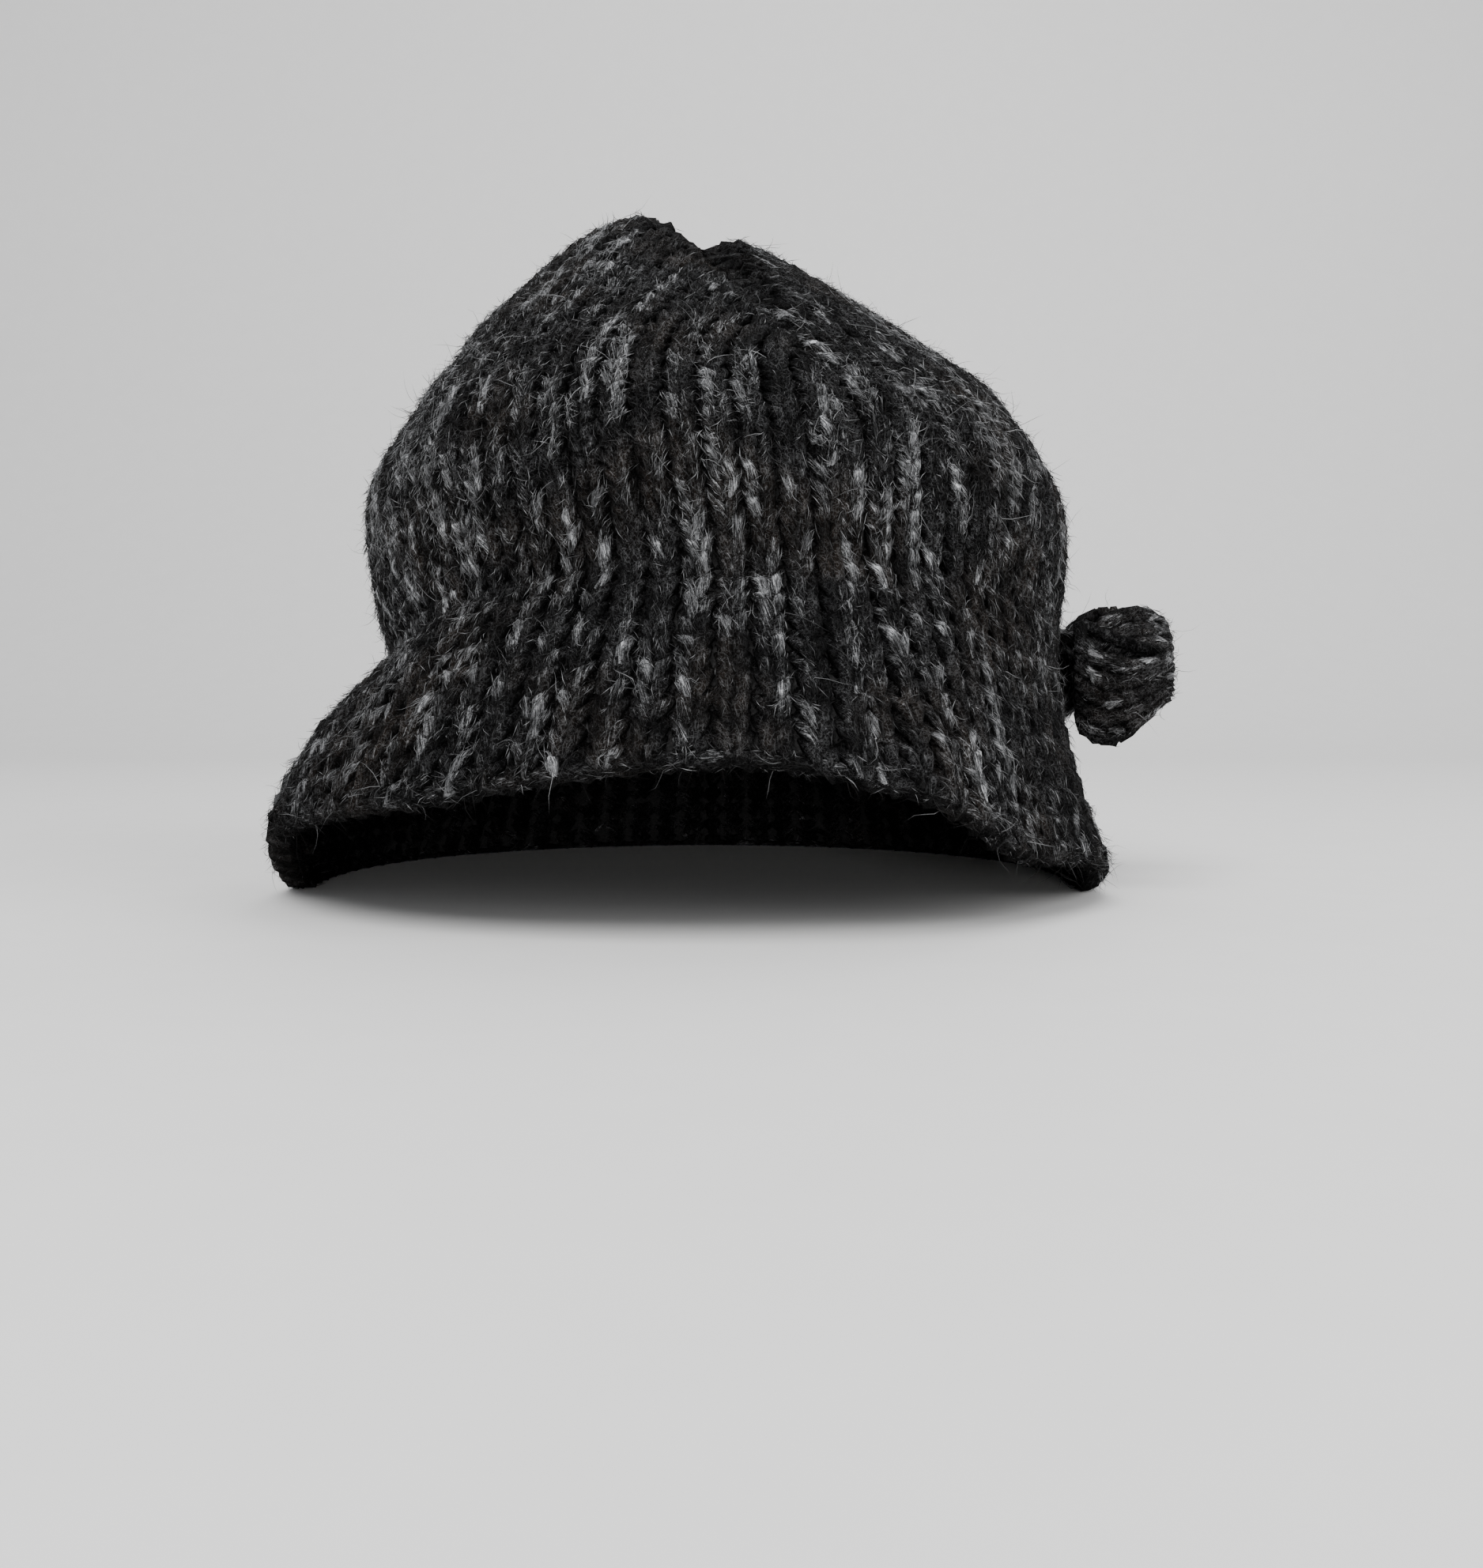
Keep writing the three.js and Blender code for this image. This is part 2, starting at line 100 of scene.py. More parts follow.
CLEFTS = table(
    "heading reach depth half_width",
    [(15, 88, 20, 12), (96, 50, 9, 11), (184, 66, 19, 12), (276, 52, 9, 11)],
)
CLEFT_BACK_FADE = 8  # how far a cleft runs on past the middle of the top
CLEFT_END_WIDTH = 0.45  # width that a cleft keeps at its end, as a share of its full width
LOBES = table("heading lift", [(45, 3), (135, 1), (225, 6), (315, 10.5)])
LOBE_INNER = 12  # a lobe reaches its full lift at this distance from the middle
LOBE_OUTER = 38  # and fades away around this distance
FOLDS = table(
    "heading rise heading_spread rise_spread depth",
    [
        (280, 0.43, 28, 0.08, 3),
        (300, 0.56, 30, 0.06, 2.2),
        (76, 0.32, 20, 0.08, 2),
        (74, 0.5, 22, 0.05, -2.4),
        (80, 0.74, 22, 0.07, -2),
        (22, 0.5, 16, 0.1, 2.4),
        (200, 0.35, 34, 0.08, 2),
    ],
)
BOW_HEADING = 86
BOW_DROP = 6  # middle of the bow below the crease
BOW_STRIP = 5.5  # thickness of the strip
BOW_LOOPS = {
    "front": dict(
        reach=20.5, fan=-28, climb=-1, sag=4, roll=2,
        pinch=25, height=23, tip=14.5, open=3.5, skew=2.2, seat=5.9, aside=9.8,
    ),
    "rear": dict(
        reach=30, fan=28, climb=7, sag=-4, roll=-8,
        pinch=17, height=22, tip=16, open=4.5, skew=1, seat=4.6, aside=10.9,
    ),
}
BOW_WALES = 5  # columns of stitches across the strip
BOW_ARCH = 2.2  # how far the middle of the strip bulges out of the loop
BOW_GAP = 0.3
KNOT_HALF_WIDTH = 5.5  # half of the wrap's width along the hat
KNOT_HALF_HEIGHT = 11
KNOT_RISE = 11  # how far the wrap stands out from the wall

# Stitches
BRIM_COURSES = 10
CROWN_COURSES = 30
SHOULDER = 0.45  # rise above which the columns end one by one at the clefts
SHOULDER_SOFTNESS = 0.07
NARROWEST = 0.02  # least width of the top, as a share of the shoulder's
RIM_CLIMB = 0.02  # the lowest loops lie along the rim at about this climb
RIM_CREEP = 0.05  # and creep below it by this share
GAUGE = 6.9  # width of a column that has the full yarn thickness
YARN_RADIUS = 1.65
YARN_SCALES = (0.35, 1.12)  # least and most of the yarn's thickness where columns narrow or widen
LEG_PINCH = 0.045  # how far the two legs of a stitch draw together, as a share of a column's width
LOOP_SWING = 0.28  # how far a leg leans sideways, as a share of a column's width
LOOP_REACH = 0.95  # half of a stitch's height, as a share of a course
LOOP_DEPTH = 1.0
CROWN_RIDGE = 0.85  # how far the middle of a column stands above, and its edge below, the wall
BRIM_RIDGE = 1.45
UNEVEN = dict(lean=0.07, lift=0.1, swing=0.16, thickness=0.1)  # how much stitches differ
STITCH_STEPS = 8
YARN_SIDES = 5
YARN_OFFSETS = 1000  # lengths of yarn start at a random place of the pattern, up to this far along
YARN_FLOOR = 0.15  # lowest height of the yarn
HEADING_STEP = 0.02  # step in radians for the direction of a surface given by headings

# Flecks of paler wool
CROWN_FLECKS = (0.25, 0.8)  # share of a run from which a leg is paler, and at which it is palest
BRIM_FLECKS = (0.24, 0.84)
RUN_COURSES = 2.8  # length of a pale run along one leg of a column
RUN_ROWS = 29
AREA_COLUMNS = 13  # paler and darker areas around the hat
AREA_COURSES = 6.0
AREA_ROWS = 9
AREA_SHARE = 0.3  # how much an area adds to a run
LEG_PHASES = (np.pi / 2, 3 * np.pi / 2)  # places of the two legs in a stitch
FLECK_STRENGTHS = (0.3, 1.2)
FLECK_STRAY = 0.08  # paleness that a leg has by chance alone
FLECK_SHIFT = 0.25
FLECK_SPREADS = (0.7, 1.15)
CLEFT_RISES = (0.55, 0.72)  # rises from which the painted shade beside a cleft starts, and at which it is full
CLEFT_SHADE = 0.9  # how much darker the last column beside a cleft is painted, as shade
CLEFT_SPREAD = 0.9  # columns over which that fades

# Felted sheet
FELT_SIDES = (0.58, 0.68)  # depth of its outer and inner side, as shares of the wall
FELT_BRIM_ROWS = 9
FELT_CROWN_ROWS = 40
FELT_STEP = 0.5
FELT_FLOOR = 0.3

# Cord along the rim
RIM_COURSE = 0.2  # the cord lies this far above the lowest course
RIM_STEPS = 4  # steps for each column
RIM_STRANDS = (-2.5, -4.6)  # depth of each strand in the wall
RIM_RADIUS = 1.6
RIM_SWELL = 0.1
RIM_WAVE = 0.3
RIM_DRIFT = dict(step=0.35, share=0.03125)  # how far the strands wander up and down
RIM_STEP = 0.3  # step in courses for the direction of the wall at the rim
RIM_BELOW = 0.2  # the wall's downward direction is taken between these places, in courses
RIM_ABOVE = 0.6
RIM_EXPOSED = 0.5
RIM_FLECKS = (0.5, 0.95)
RIM_TONES = (0.1, 0.4)  # least paleness, and what a fleck adds

# Knitting of the bow
BOW_GAUGE = 4.6
BOW_COURSE = 4.6  # height of a course
BOW_RIDGE = 1.1
BOW_YARN = 1.45
BOW_FLECKS = (0.55, 0.9)
BOW_RAIL_STEPS = 400
BOW_END = 0.2  # turn at the pinch where the strip keeps its direction
BOW_RAIL_STEP = 0.02
BOW_FELT_SIDES = (0.4, 0.6)
BOW_FELT_INSET = 0.2
BOW_FELT_GRID = (13, 40)
WRAP_TURNS = 6
WRAP_STEPS = 24
WRAP_ROUNDING = 0.55  # how much the wrap falls off towards its sides
WRAP_INSET = 1.0
WRAP_SINK = 0.5
WRAP_UNEVEN = dict(out=0.25, lean=1.1)
BRIM_LINE_STEPS = 60

# Loose fibres: short fuzz that lies on the knitting, and long hairs that stand out
FUZZ = dict(shortest=2, longest=4.5, rings=1, lift=(-0.1, 0.35), wild=0.15, bend=0.5, thickness=0.075)
HAIRS = dict(shortest=3, longest=8, rings=3, lift=(0.1, 0.7), wild=0.6, bend=1.1, thickness=0.065)
FIBRE_COUNTS = {
    "crown_front": dict(fuzz=32000, hairs=1500),
    "crown_back": dict(fuzz=22000, hairs=1500),
    "brim": dict(fuzz=32000, hairs=1500),
    "rim": dict(fuzz=7000, hairs=900),
    "bow": dict(fuzz=4000, hairs=200),
}
FIBRE_SIDES = 3
FIBRE_ANGLE = 1.1  # fibres leave the yarn up to this angle, in radians, from its outer side
FIBRE_ROOT = 0.85  # a fibre starts at this share of the yarn's radius
FIBRE_SLIDE = 0.8
FIBRE_DROOP = 0.25
FIBRE_WAVE = 0.09
FIBRE_WIDTHS = (0.7, 1.3)
FIBRE_TILT = 0.01  # turns the sides of a fibre away from the yarn's spoke
FIBRE_TIP = 0.55  # width of the last ring, as a share of the first
FIBRE_FLOOR = 0.1
EXPOSED_MORE = 0.1  # added to how far out the yarn lies, for the chance that it has a fibre
EXPOSED_LIMITS = (0.04, 1)
CREST_CHANCE = (0.7, 0.3)  # chance in a groove, and what the crest of a column adds
TONE_CHANCE = (0.5, 1.5)  # chance on dark yarn, and what a fleck adds
GREY_CHANCE = 0.8
GREY_TONES = (0.2, 0.75)
DARK_TONE = 0.2
# Painted shade: fibres in the grooves between columns are darker
GROOVE_FIBRE_SHADE = (0.5, 0.5)

# Wool pattern: ranges give a value's low and high end, and then what these become
TWIST = 0.03  # turns of the plies in a millimetre of yarn
PLY = dict(around=1.5, lengthwise=0.2)  # steps of the pattern around the yarn and in a millimetre of it
STREAK = dict(around=4.5, lengthwise=0.28)
STREAK_NOISE = dict(scale=1.6, detail=3.0, roughness=0.65)
NOISE_MIDDLE = (0.3, 0.7)
HAIR_LAYERS = ((520.0, 0.0), (700.0, 3.7), (940.0, 8.1))  # steps in a metre and offset of each layer
HAIR_LINE = (0.0, 0.045, 1.0, 0.0)
HAIR_SHARE = 0.2
STREAK_SHARE = 0.85
# Painted shade: the yarn is darker on its sides that face into the knitting and in the grooves between
# columns
INNER_FACING = -0.7  # the inner side of the yarn counts as this share of the outer
OUTER_SHADE = (0.0, 0.95, 0.25, 1.0)
GROOVE_SHADE = (0.1, 0.75, 0.6, 1.0)
LEVEL_SHARES = dict(tone=0.55, ply=0.3, fibre=0.35)
PALE_LEVELS = (0.5, 1.05)
TINT_SCALE = 38.0
TINT_RANGE = (0.45, 0.68)
GROUND_HAIRS = 0.1
CLOUD_SCALE = 150.0
CLOUD_SHADE = (0.32, 0.68, 0.3, 1.5)
FIBRE_SHADE = (0.0, 1.0, 0.35, 1.7)
WOOL_ROUGHNESS = (0.0, 1.0, 0.98, 0.72)
WOOL_SPECULAR = 0.06
WOOL_BUMP = 0.9
FLUFF_SCALE = 900.0
FLUFF_ROUGHNESS = (0.3, 0.7, 0.5, 0.75)
FLUFF_SPECULAR = 0.1
FELT_NOISE = dict(scale=1400.0, detail=3.0, roughness=0.7)
FELT_TONES = (0.4, 0.75)
FELT_ROUGHNESS = (0.2, 0.8, 1.0, 0.85)
FELT_BUMP = 0.8
BUMP_DISTANCE = 0.0006

# Camera, fitted to the photo of 1876 by 1984 pixels
PHOTO_HEIGHT = 1984
FOCAL_PIXELS = 2100
SENSOR = 36.0
CAMERA_PLACE = np.array([4.0, -440.0, 50.0])
CAMERA_PITCH = 3.0
NEAREST_SEEN = 0.01

# Stage: the sweep in millimetres, lights in metres and watts
SWEEP = dict(front=-3000, bend_start=900, bend_radius=700, top=3200, half_width=3500)
SWEEP_STEPS = 14
SWEEP_NOISE = dict(scale=60.0, detail=4.0)
SWEEP_COLOURS = ((0.78, 0.775, 0.765, 1), (0.82, 0.815, 0.805, 1))
SWEEP_ROUGHNESS = 0.7
LIGHTS = {
    "key": dict(place=(-0.35, -1.2, 1.55), aim=(0, 0, 0.08), size=1.2, power=42),
    "fill": dict(place=(1.3, -1.0, 0.8), aim=(0, 0, 0.08), size=1.2, power=25),
    "back": dict(place=(0.4, 0.9, 1.6), aim=(0, 0, 0.1), size=1.0, power=8),
    "front": dict(place=(0.1, -1.6, 0.09), aim=(0, 0, 0.05), size=0.3, power=10),
}
WORLD_COLOUR = (0.93, 0.95, 1.0, 1)
WORLD_STRENGTH = 0.42


# Curves through tables
def hermite(share, start, start_slope, end, end_slope):
    """Cubic curve between two values with given slopes."""
    return (
        (2 * share**3 - 3 * share**2 + 1) * start
        + (share**3 - 2 * share**2 + share) * start_slope
        + (3 * share**2 - 2 * share**3) * end
        + (share**3 - share**2) * end_slope
    )


def along(keys, values, place):
    """Smooth curve through values at keys."""
    last = len(keys) - 1
    order = np.arange(last + 1)
    before = np.maximum(order - 1, 0)
    after = np.minimum(order + 1, last)
    slopes = (values[after] - values[before]) / (keys[after] - keys[before])
    place = np.clip(place, keys[0], keys[-1])
    low = np.clip(np.searchsorted(keys, place, side="right") - 1, 0, last - 1)
    high = low + 1
    width = keys[high] - keys[low]
    share = (place - keys[low]) / width
    return hermite(share, values[low], slopes[low] * width, values[high], slopes[high] * width)


def around(rows, column, heading):
    """A column of a table of headings, smooth all the way round the hat."""
    keys = rows["heading"]
    values = rows[column]
    keys = np.concatenate([keys[-2:] - 360, keys, keys[:2] + 360])
    values = np.concatenate([values[-2:], values, values[:2]])
    return along(keys, values, np.degrees(heading) % 360)


def smoothstep(value, low, high):
    """A soft step from 0 to 1 between two values."""
    share = np.clip((value - low) / (high - low), 0, 1)
    return share * share * (3 - 2 * share)


def unit(vectors):
    """Vectors of length 1 with the same directions."""
    return vectors / np.maximum(np.linalg.norm(vectors, axis=-1, keepdims=True), SMALLEST)


# Surfaces of the hat
def oval_radius(half_width, half_depth, heading):
    """Distance from the middle of an oval to its edge at a heading."""
    across = np.sin(heading) / np.maximum(half_width, NUDGE)
    deep = np.cos(heading) / np.maximum(half_depth, NUDGE)
    return 1 / np.hypot(across, deep)


def cleft_drop(x, y):
    """How far the clefts cut down into the top at a place measured from its middle."""
    drop = np.zeros_like(x)
    for heading, reach, depth, half_width in zip(*CLEFTS.values()):
        turn = np.radians(heading)
        outward = x * np.sin(turn) - y * np.cos(turn)
        aside = np.abs(x * np.cos(turn) + y * np.sin(turn))
        left = np.clip(1 - np.maximum(outward, 0) / reach, 0, 1)
        fade = np.where(outward < 0, np.clip(1 + outward / CLEFT_BACK_FADE, 0, 1), left * (2 - left))
        width = half_width * (CLEFT_END_WIDTH + (1 - CLEFT_END_WIDTH) * fade)
        near = np.clip(1 - aside / width, 0, 1)
        drop = np.maximum(drop, depth * fade * (1 - np.sqrt(1 - near**2)))
    return drop


def fold_depth(heading, rise):
    """How far the soft folds push the wall inward."""
    depth = np.zeros_like(heading)
    for middle, middle_rise, heading_spread, rise_spread, fold in zip(*FOLDS.values()):
        turn = ((np.degrees(heading) - middle + 180) % 360 - 180) / heading_spread
        lift = (rise - middle_rise) / rise_spread
        depth = depth + fold * np.exp(-(turn**2) - lift**2)
    return depth


def crown_point(heading, rise):
    """Outside of the crown, from the crease (rise 0) to the middle of its top (rise 1)."""
    column = {name: along(CROWN["rise"], CROWN[name], rise) for name in CROWN if name != "rise"}
    oval = oval_radius(column["half_width"], column["half_depth"], heading)
    # No fold goes deeper than half of the way to the middle
    radius = oval - np.minimum(fold_depth(heading, rise), oval / 2)
    crease_rise = around(BRIM, "crease_height", heading) - CROWN["height"][0]
    x = radius * np.sin(heading)
    y = -radius * np.cos(heading)
    puff = np.clip(radius / LOBE_INNER, 0, 1) * np.exp(-((radius / LOBE_OUTER) ** 2))
    z = column["height"] + crease_rise * column["follow"]
    z = z + around(LOBES, "lift", heading) * puff - cleft_drop(x, y)
    return np.stack([x + column["shift"], y, z], axis=-1)


def brim_point(heading, climb):
    """Outside of the brim, from its rim (climb 0) to the crease (climb 1)."""
    crease_radius = oval_radius(CREASE_HALF_WIDTH, CREASE_HALF_DEPTH, heading)
    crease_height = around(BRIM, "crease_height", heading)
    rim_radius = around(BRIM, "rim_radius", heading)
    rim_height = np.maximum(around(BRIM, "rim_height", heading), 0)
    swell = around(BRIM, "swell", heading)
    bow_radius = (rim_radius + crease_radius) / 2 + swell * (crease_height - rim_height)
    bow_height = (rim_height + crease_height) / 2 - swell * (crease_radius - rim_radius)
    shares = ((1 - climb) ** 2, 2 * climb * (1 - climb), climb**2)
    radius = shares[0] * rim_radius + shares[1] * bow_radius + shares[2] * crease_radius
    height = shares[0] * rim_height + shares[1] * bow_height + shares[2] * crease_height
    return np.stack([radius * np.sin(heading), -radius * np.cos(heading), height], axis=-1)


def hat_point(heading, course):
    """Outside of the hat: courses below 0 are on the brim and the others on the crown."""
    climb = 1 + course / BRIM_COURSES
    climb = np.maximum(climb, RIM_CLIMB + RIM_CREEP * (climb - RIM_CLIMB))
    brim = brim_point(heading, np.minimum(climb, 1))
    crown = crown_point(heading, np.clip(course / CROWN_COURSES, 0, 1))
    return np.where((course < 0)[..., None], brim, crown)


# Columns of stitches between two clefts
SECTOR_STARTS = np.radians(CLEFTS["heading"])
SECTOR_ENDS = np.radians(np.append(CLEFTS["heading"][1:], CLEFTS["heading"][0] + 360))


def sector_heading(sector, wale, course):
    """Heading of a column: above the shoulder it runs on beside the middle column of its sector."""
    middle = (SECTOR_STARTS[sector] + SECTOR_ENDS[sector]) / 2
    offset = SECTOR_STARTS[0] + wale * TAU / WALES - middle
    rise = np.clip(course / CROWN_COURSES, 0, 1)
    sizes = CROWN["half_width"] + CROWN["half_depth"]
    short = 1 - along(CROWN["rise"], sizes, rise) / along(CROWN["rise"], sizes, np.array(SHOULDER))
    short = (short + np.sqrt(short**2 + SHOULDER_SOFTNESS**2)) / 2
    left = np.clip(1 - short, NARROWEST, 1)
    return middle + np.arcsin(np.clip(np.sin(offset) / left, -1, 1))


def sector_wales(sector, course):
    """Columns of a sector that are still there at a course."""
    first = np.ceil((SECTOR_STARTS[sector] - SECTOR_STARTS[0]) * WALES / TAU - 0.5)
    last = np.ceil((SECTOR_ENDS[sector] - SECTOR_STARTS[0]) * WALES / TAU - 0.5)
    wales = np.arange(first, last)
    middle = (SECTOR_STARTS[sector] + SECTOR_ENDS[sector]) / 2
    half = (SECTOR_ENDS[sector] - SECTOR_STARTS[sector]) / 2
    heading = sector_heading(sector, wales + 0.5, np.full_like(wales, course + 0.5))
    return wales[np.abs(heading - middle) <= half + NUDGE]


def surface_normals(surface, across, up, across_step=0.3, up_step=0.6):
    """Outward direction of a surface given by two numbers, and its width for each step across."""
    sideways = surface(across + across_step, up) - surface(across - across_step, up)
    upward = surface(across, up + up_step) - surface(across, up - up_step)
    outward = unit(np.cross(sideways, upward) + NUDGE * UP)
    return outward, np.linalg.norm(sideways, axis=-1) / (2 * across_step)


# Where the hat stands in the frame
def frame_shift():
    """How far the solids were moved to centre their footprint."""
    count = 2 * WALES
    step = 0.01
    heading = np.arange(count) * TAU / count
    low_climb = np.zeros(count)
    rib = np.where(np.arange(count) % 2 == 0, RIB / 2, -RIB / 2)[:, None]
    rim = brim_point(heading, low_climb)
    turn = brim_point(heading + step, low_climb) - brim_point(heading - step, low_climb)
    climb = brim_point(heading, low_climb + step) - rim
    rim = rim + rib * unit(np.cross(turn, climb))
    low = np.array(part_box("brim")[0]) / MM
    return np.array([low[0] - rim[:, 0].min(), low[1] - rim[:, 1].min(), 0.0])


SHIFT = frame_shift()


# Meshes from arrays
def mesh_piece(name, points, corners, sizes, material, uv=None, **values):
    """A piece of the hat from points in millimetres and the corners of its faces."""
    mesh = bpy.data.meshes.new(name)
    mesh.vertices.add(len(points))
    mesh.vertices.foreach_set("co", ((points + SHIFT) * MM).astype(np.float32).ravel())
    mesh.loops.add(len(corners))
    mesh.loops.foreach_set("vertex_index", corners.astype(np.int32))
    mesh.polygons.add(len(sizes))
    starts = np.concatenate([[0], np.cumsum(sizes)[:-1]])
    mesh.polygons.foreach_set("loop_start", starts.astype(np.int32))
    mesh.polygons.foreach_set("use_smooth", np.ones(len(sizes), bool))
    mesh.update(calc_edges=True)
    if uv is not None:
        layer = mesh.uv_layers.new(name="yarn")
        layer.uv.foreach_set("vector", uv.astype(np.float32).ravel())
    for value_name, numbers in values.items():
        attribute = mesh.attributes.new(value_name, "FLOAT", "POINT")
        attribute.data.foreach_set("value", numbers.astype(np.float32))
    mesh.validate()
    mesh.materials.append(material)
    piece = bpy.data.objects.new(name, mesh)
    bpy.context.scene.collection.objects.link(piece)
    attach(piece, "root")
    return piece


def yarn(centres, outward, radii, tones, rng, exposed=None, crest=None):
    """One length of yarn: its frame at every step, how far along it that is and how far out it lies."""
    ahead = unit(np.gradient(centres, axis=0) + NUDGE * SIDEWAYS)
    side = unit(np.cross(ahead, outward))
    up = np.cross(side, ahead)
    steps = np.linalg.norm(np.diff(centres, axis=0), axis=1)
    length = rng.uniform(0, YARN_OFFSETS) + np.concatenate([[0], np.cumsum(steps)])
    return dict(
        centre=centres, ahead=ahead, side=side, up=up, radius=radii, length=length, tone=tones,
        exposed=np.ones(len(centres)) if exposed is None else exposed,
        crest=np.ones(len(centres)) if crest is None else crest,
    )


def yarn_mesh(yarns):
    """Closed tubes around yarns: points, corners, face sizes, corner coordinates and point values."""
    points, corners, sizes, uvs = [], [], [], []
    start = 0
    side = np.arange(YARN_SIDES)
    after = (side + 1) % YARN_SIDES
    turn = (TAU * side / YARN_SIDES)[None, :, None]
    for one in yarns:
        count = len(one["centre"])
        spoke = np.cos(turn) * one["up"][:, None] + np.sin(turn) * one["side"][:, None]
        points.append((one["centre"][:, None] + one["radius"][:, None, None] * spoke).reshape(-1, 3))
        ring = start + np.arange(count - 1)[:, None] * YARN_SIDES
        beyond = ring + YARN_SIDES
        quads = np.stack([ring + side, ring + after, beyond + after, beyond + side], axis=-1)
        low = np.broadcast_to(one["length"][:-1, None], quads.shape[:2])
        high = np.broadcast_to(one["length"][1:, None], quads.shape[:2])
        near = np.broadcast_to(side / YARN_SIDES, quads.shape[:2])
        far = np.broadcast_to((side + 1) / YARN_SIDES, quads.shape[:2])
        pairs = ((low, near), (low, far), (high, far), (high, near))
        quad_uv = np.stack([np.stack(pair, axis=-1) for pair in pairs], axis=-2)
        last = start + (count - 1) * YARN_SIDES
        corners += [quads.ravel(), start + side[::-1], last + side]
        sizes += [np.full((count - 1) * YARN_SIDES, 4), np.full(2, YARN_SIDES)]
        ends = np.repeat(one["length"][[0, -1]], YARN_SIDES)
        uvs += [quad_uv.reshape(-1, 2), np.stack([ends, np.full(2 * YARN_SIDES, 0.5)], axis=-1)]
        start += count * YARN_SIDES
    points = np.concatenate(points)
    points[:, 2] = np.maximum(points[:, 2], YARN_FLOOR)
    values = {}
    for name in ("tone", "crest"):
        values[name] = np.concatenate([np.repeat(one[name], YARN_SIDES) for one in yarns])
    return points, np.concatenate(corners), np.concatenate(sizes), np.concatenate(uvs), values


# Stitches
def patchy(values, across, up):
    """Soft patches over a fabric from a grid of random values that wraps around it."""
    rows, columns = values.shape
    left = np.floor(across).astype(int)
    below = np.floor(up).astype(int)
    right_share = smoothstep(across - left, 0, 1)
    top_share = smoothstep(up - below, 0, 1)

    def value(column, row):
        return values[row % rows, column % columns]

    low = value(left, below) * (1 - right_share) + value(left + 1, below) * right_share
    high = value(left, below + 1) * (1 - right_share) + value(left + 1, below + 1) * right_share
    return low * (1 - top_share) + high * top_share


def flecks(stitch, phase, pale, rng):
    """Paleness along a course: the legs of its stitches, two a stitch, carry flecks of paler wool."""
    tones = np.zeros(len(phase))
    count = len(pale)
    for leg, strength in zip(LEG_PHASES, pale.T):
        strength = strength * rng.uniform(*FLECK_STRENGTHS, count) + rng.normal(0, FLECK_STRAY, count)
        strength = np.clip(strength, 0, 1)
        middle = leg + rng.normal(0, FLECK_SHIFT, count)
        spread = rng.uniform(*FLECK_SPREADS, count)
        away = (phase - middle[stitch]) / spread[stitch]
        tones = np.maximum(tones, strength[stitch] * np.exp(-(away**2)))
    return tones


def knit_course(surface, wales, course, wall, rng, gauge, pale, ridge, radius=YARN_RADIUS, painted_cleft_shade=None):
    """A course of stitches as one length of yarn over a surface; those beside a cleft are darker, a
    painted shade.
    """
    count = len(wales)
    painted_cleft_shade = np.zeros(count) if painted_cleft_shade is None else painted_cleft_shade
    steps = count * STITCH_STEPS + 1
    stitch = np.minimum(np.arange(steps) // STITCH_STEPS, count - 1)
    phase = (np.arange(steps) / STITCH_STEPS - stitch) * TAU
    settle = np.sin(phase / 2) ** 2
    lean = rng.normal(0, UNEVEN["lean"], count)[stitch] * settle
    lift = rng.normal(0, UNEVEN["lift"], count)[stitch] * settle
    swing = LOOP_SWING * (1 + rng.normal(0, UNEVEN["swing"], count)[stitch])
    across = wales[stitch] + phase / TAU + swing * np.sin(2 * phase) + LEG_PINCH * np.sin(phase) + lean
    up = course + 0.5 - LOOP_REACH * np.cos(phase) + lift
    outward, width = surface_normals(surface, across, up)
    scale = np.clip(width / gauge, *YARN_SCALES)
    crest = np.cos(TAU * (across - 0.5))
    relief = ridge * crest - LOOP_DEPTH * np.cos(2 * phase)
    depth = -wall / 2 + scale * relief
    centres = surface(across, up) + depth[:, None] * outward
    thick = 1 + rng.normal(0, UNEVEN["thickness"], count)[stitch] * settle
    # Painted shade beside a cleft: it takes away the flecks and the loose fibres, and darkens the wool as
    # in a groove
    clear_of_cleft_shade = 1 - painted_cleft_shade[stitch]
    tones = flecks(stitch, phase, pale, rng) * clear_of_cleft_shade
    exposed = -np.cos(2 * phase) * clear_of_cleft_shade
    crest = (1 + crest) / 2 * clear_of_cleft_shade
    return yarn(centres, outward, radius * scale * thick, tones, rng, exposed, crest)


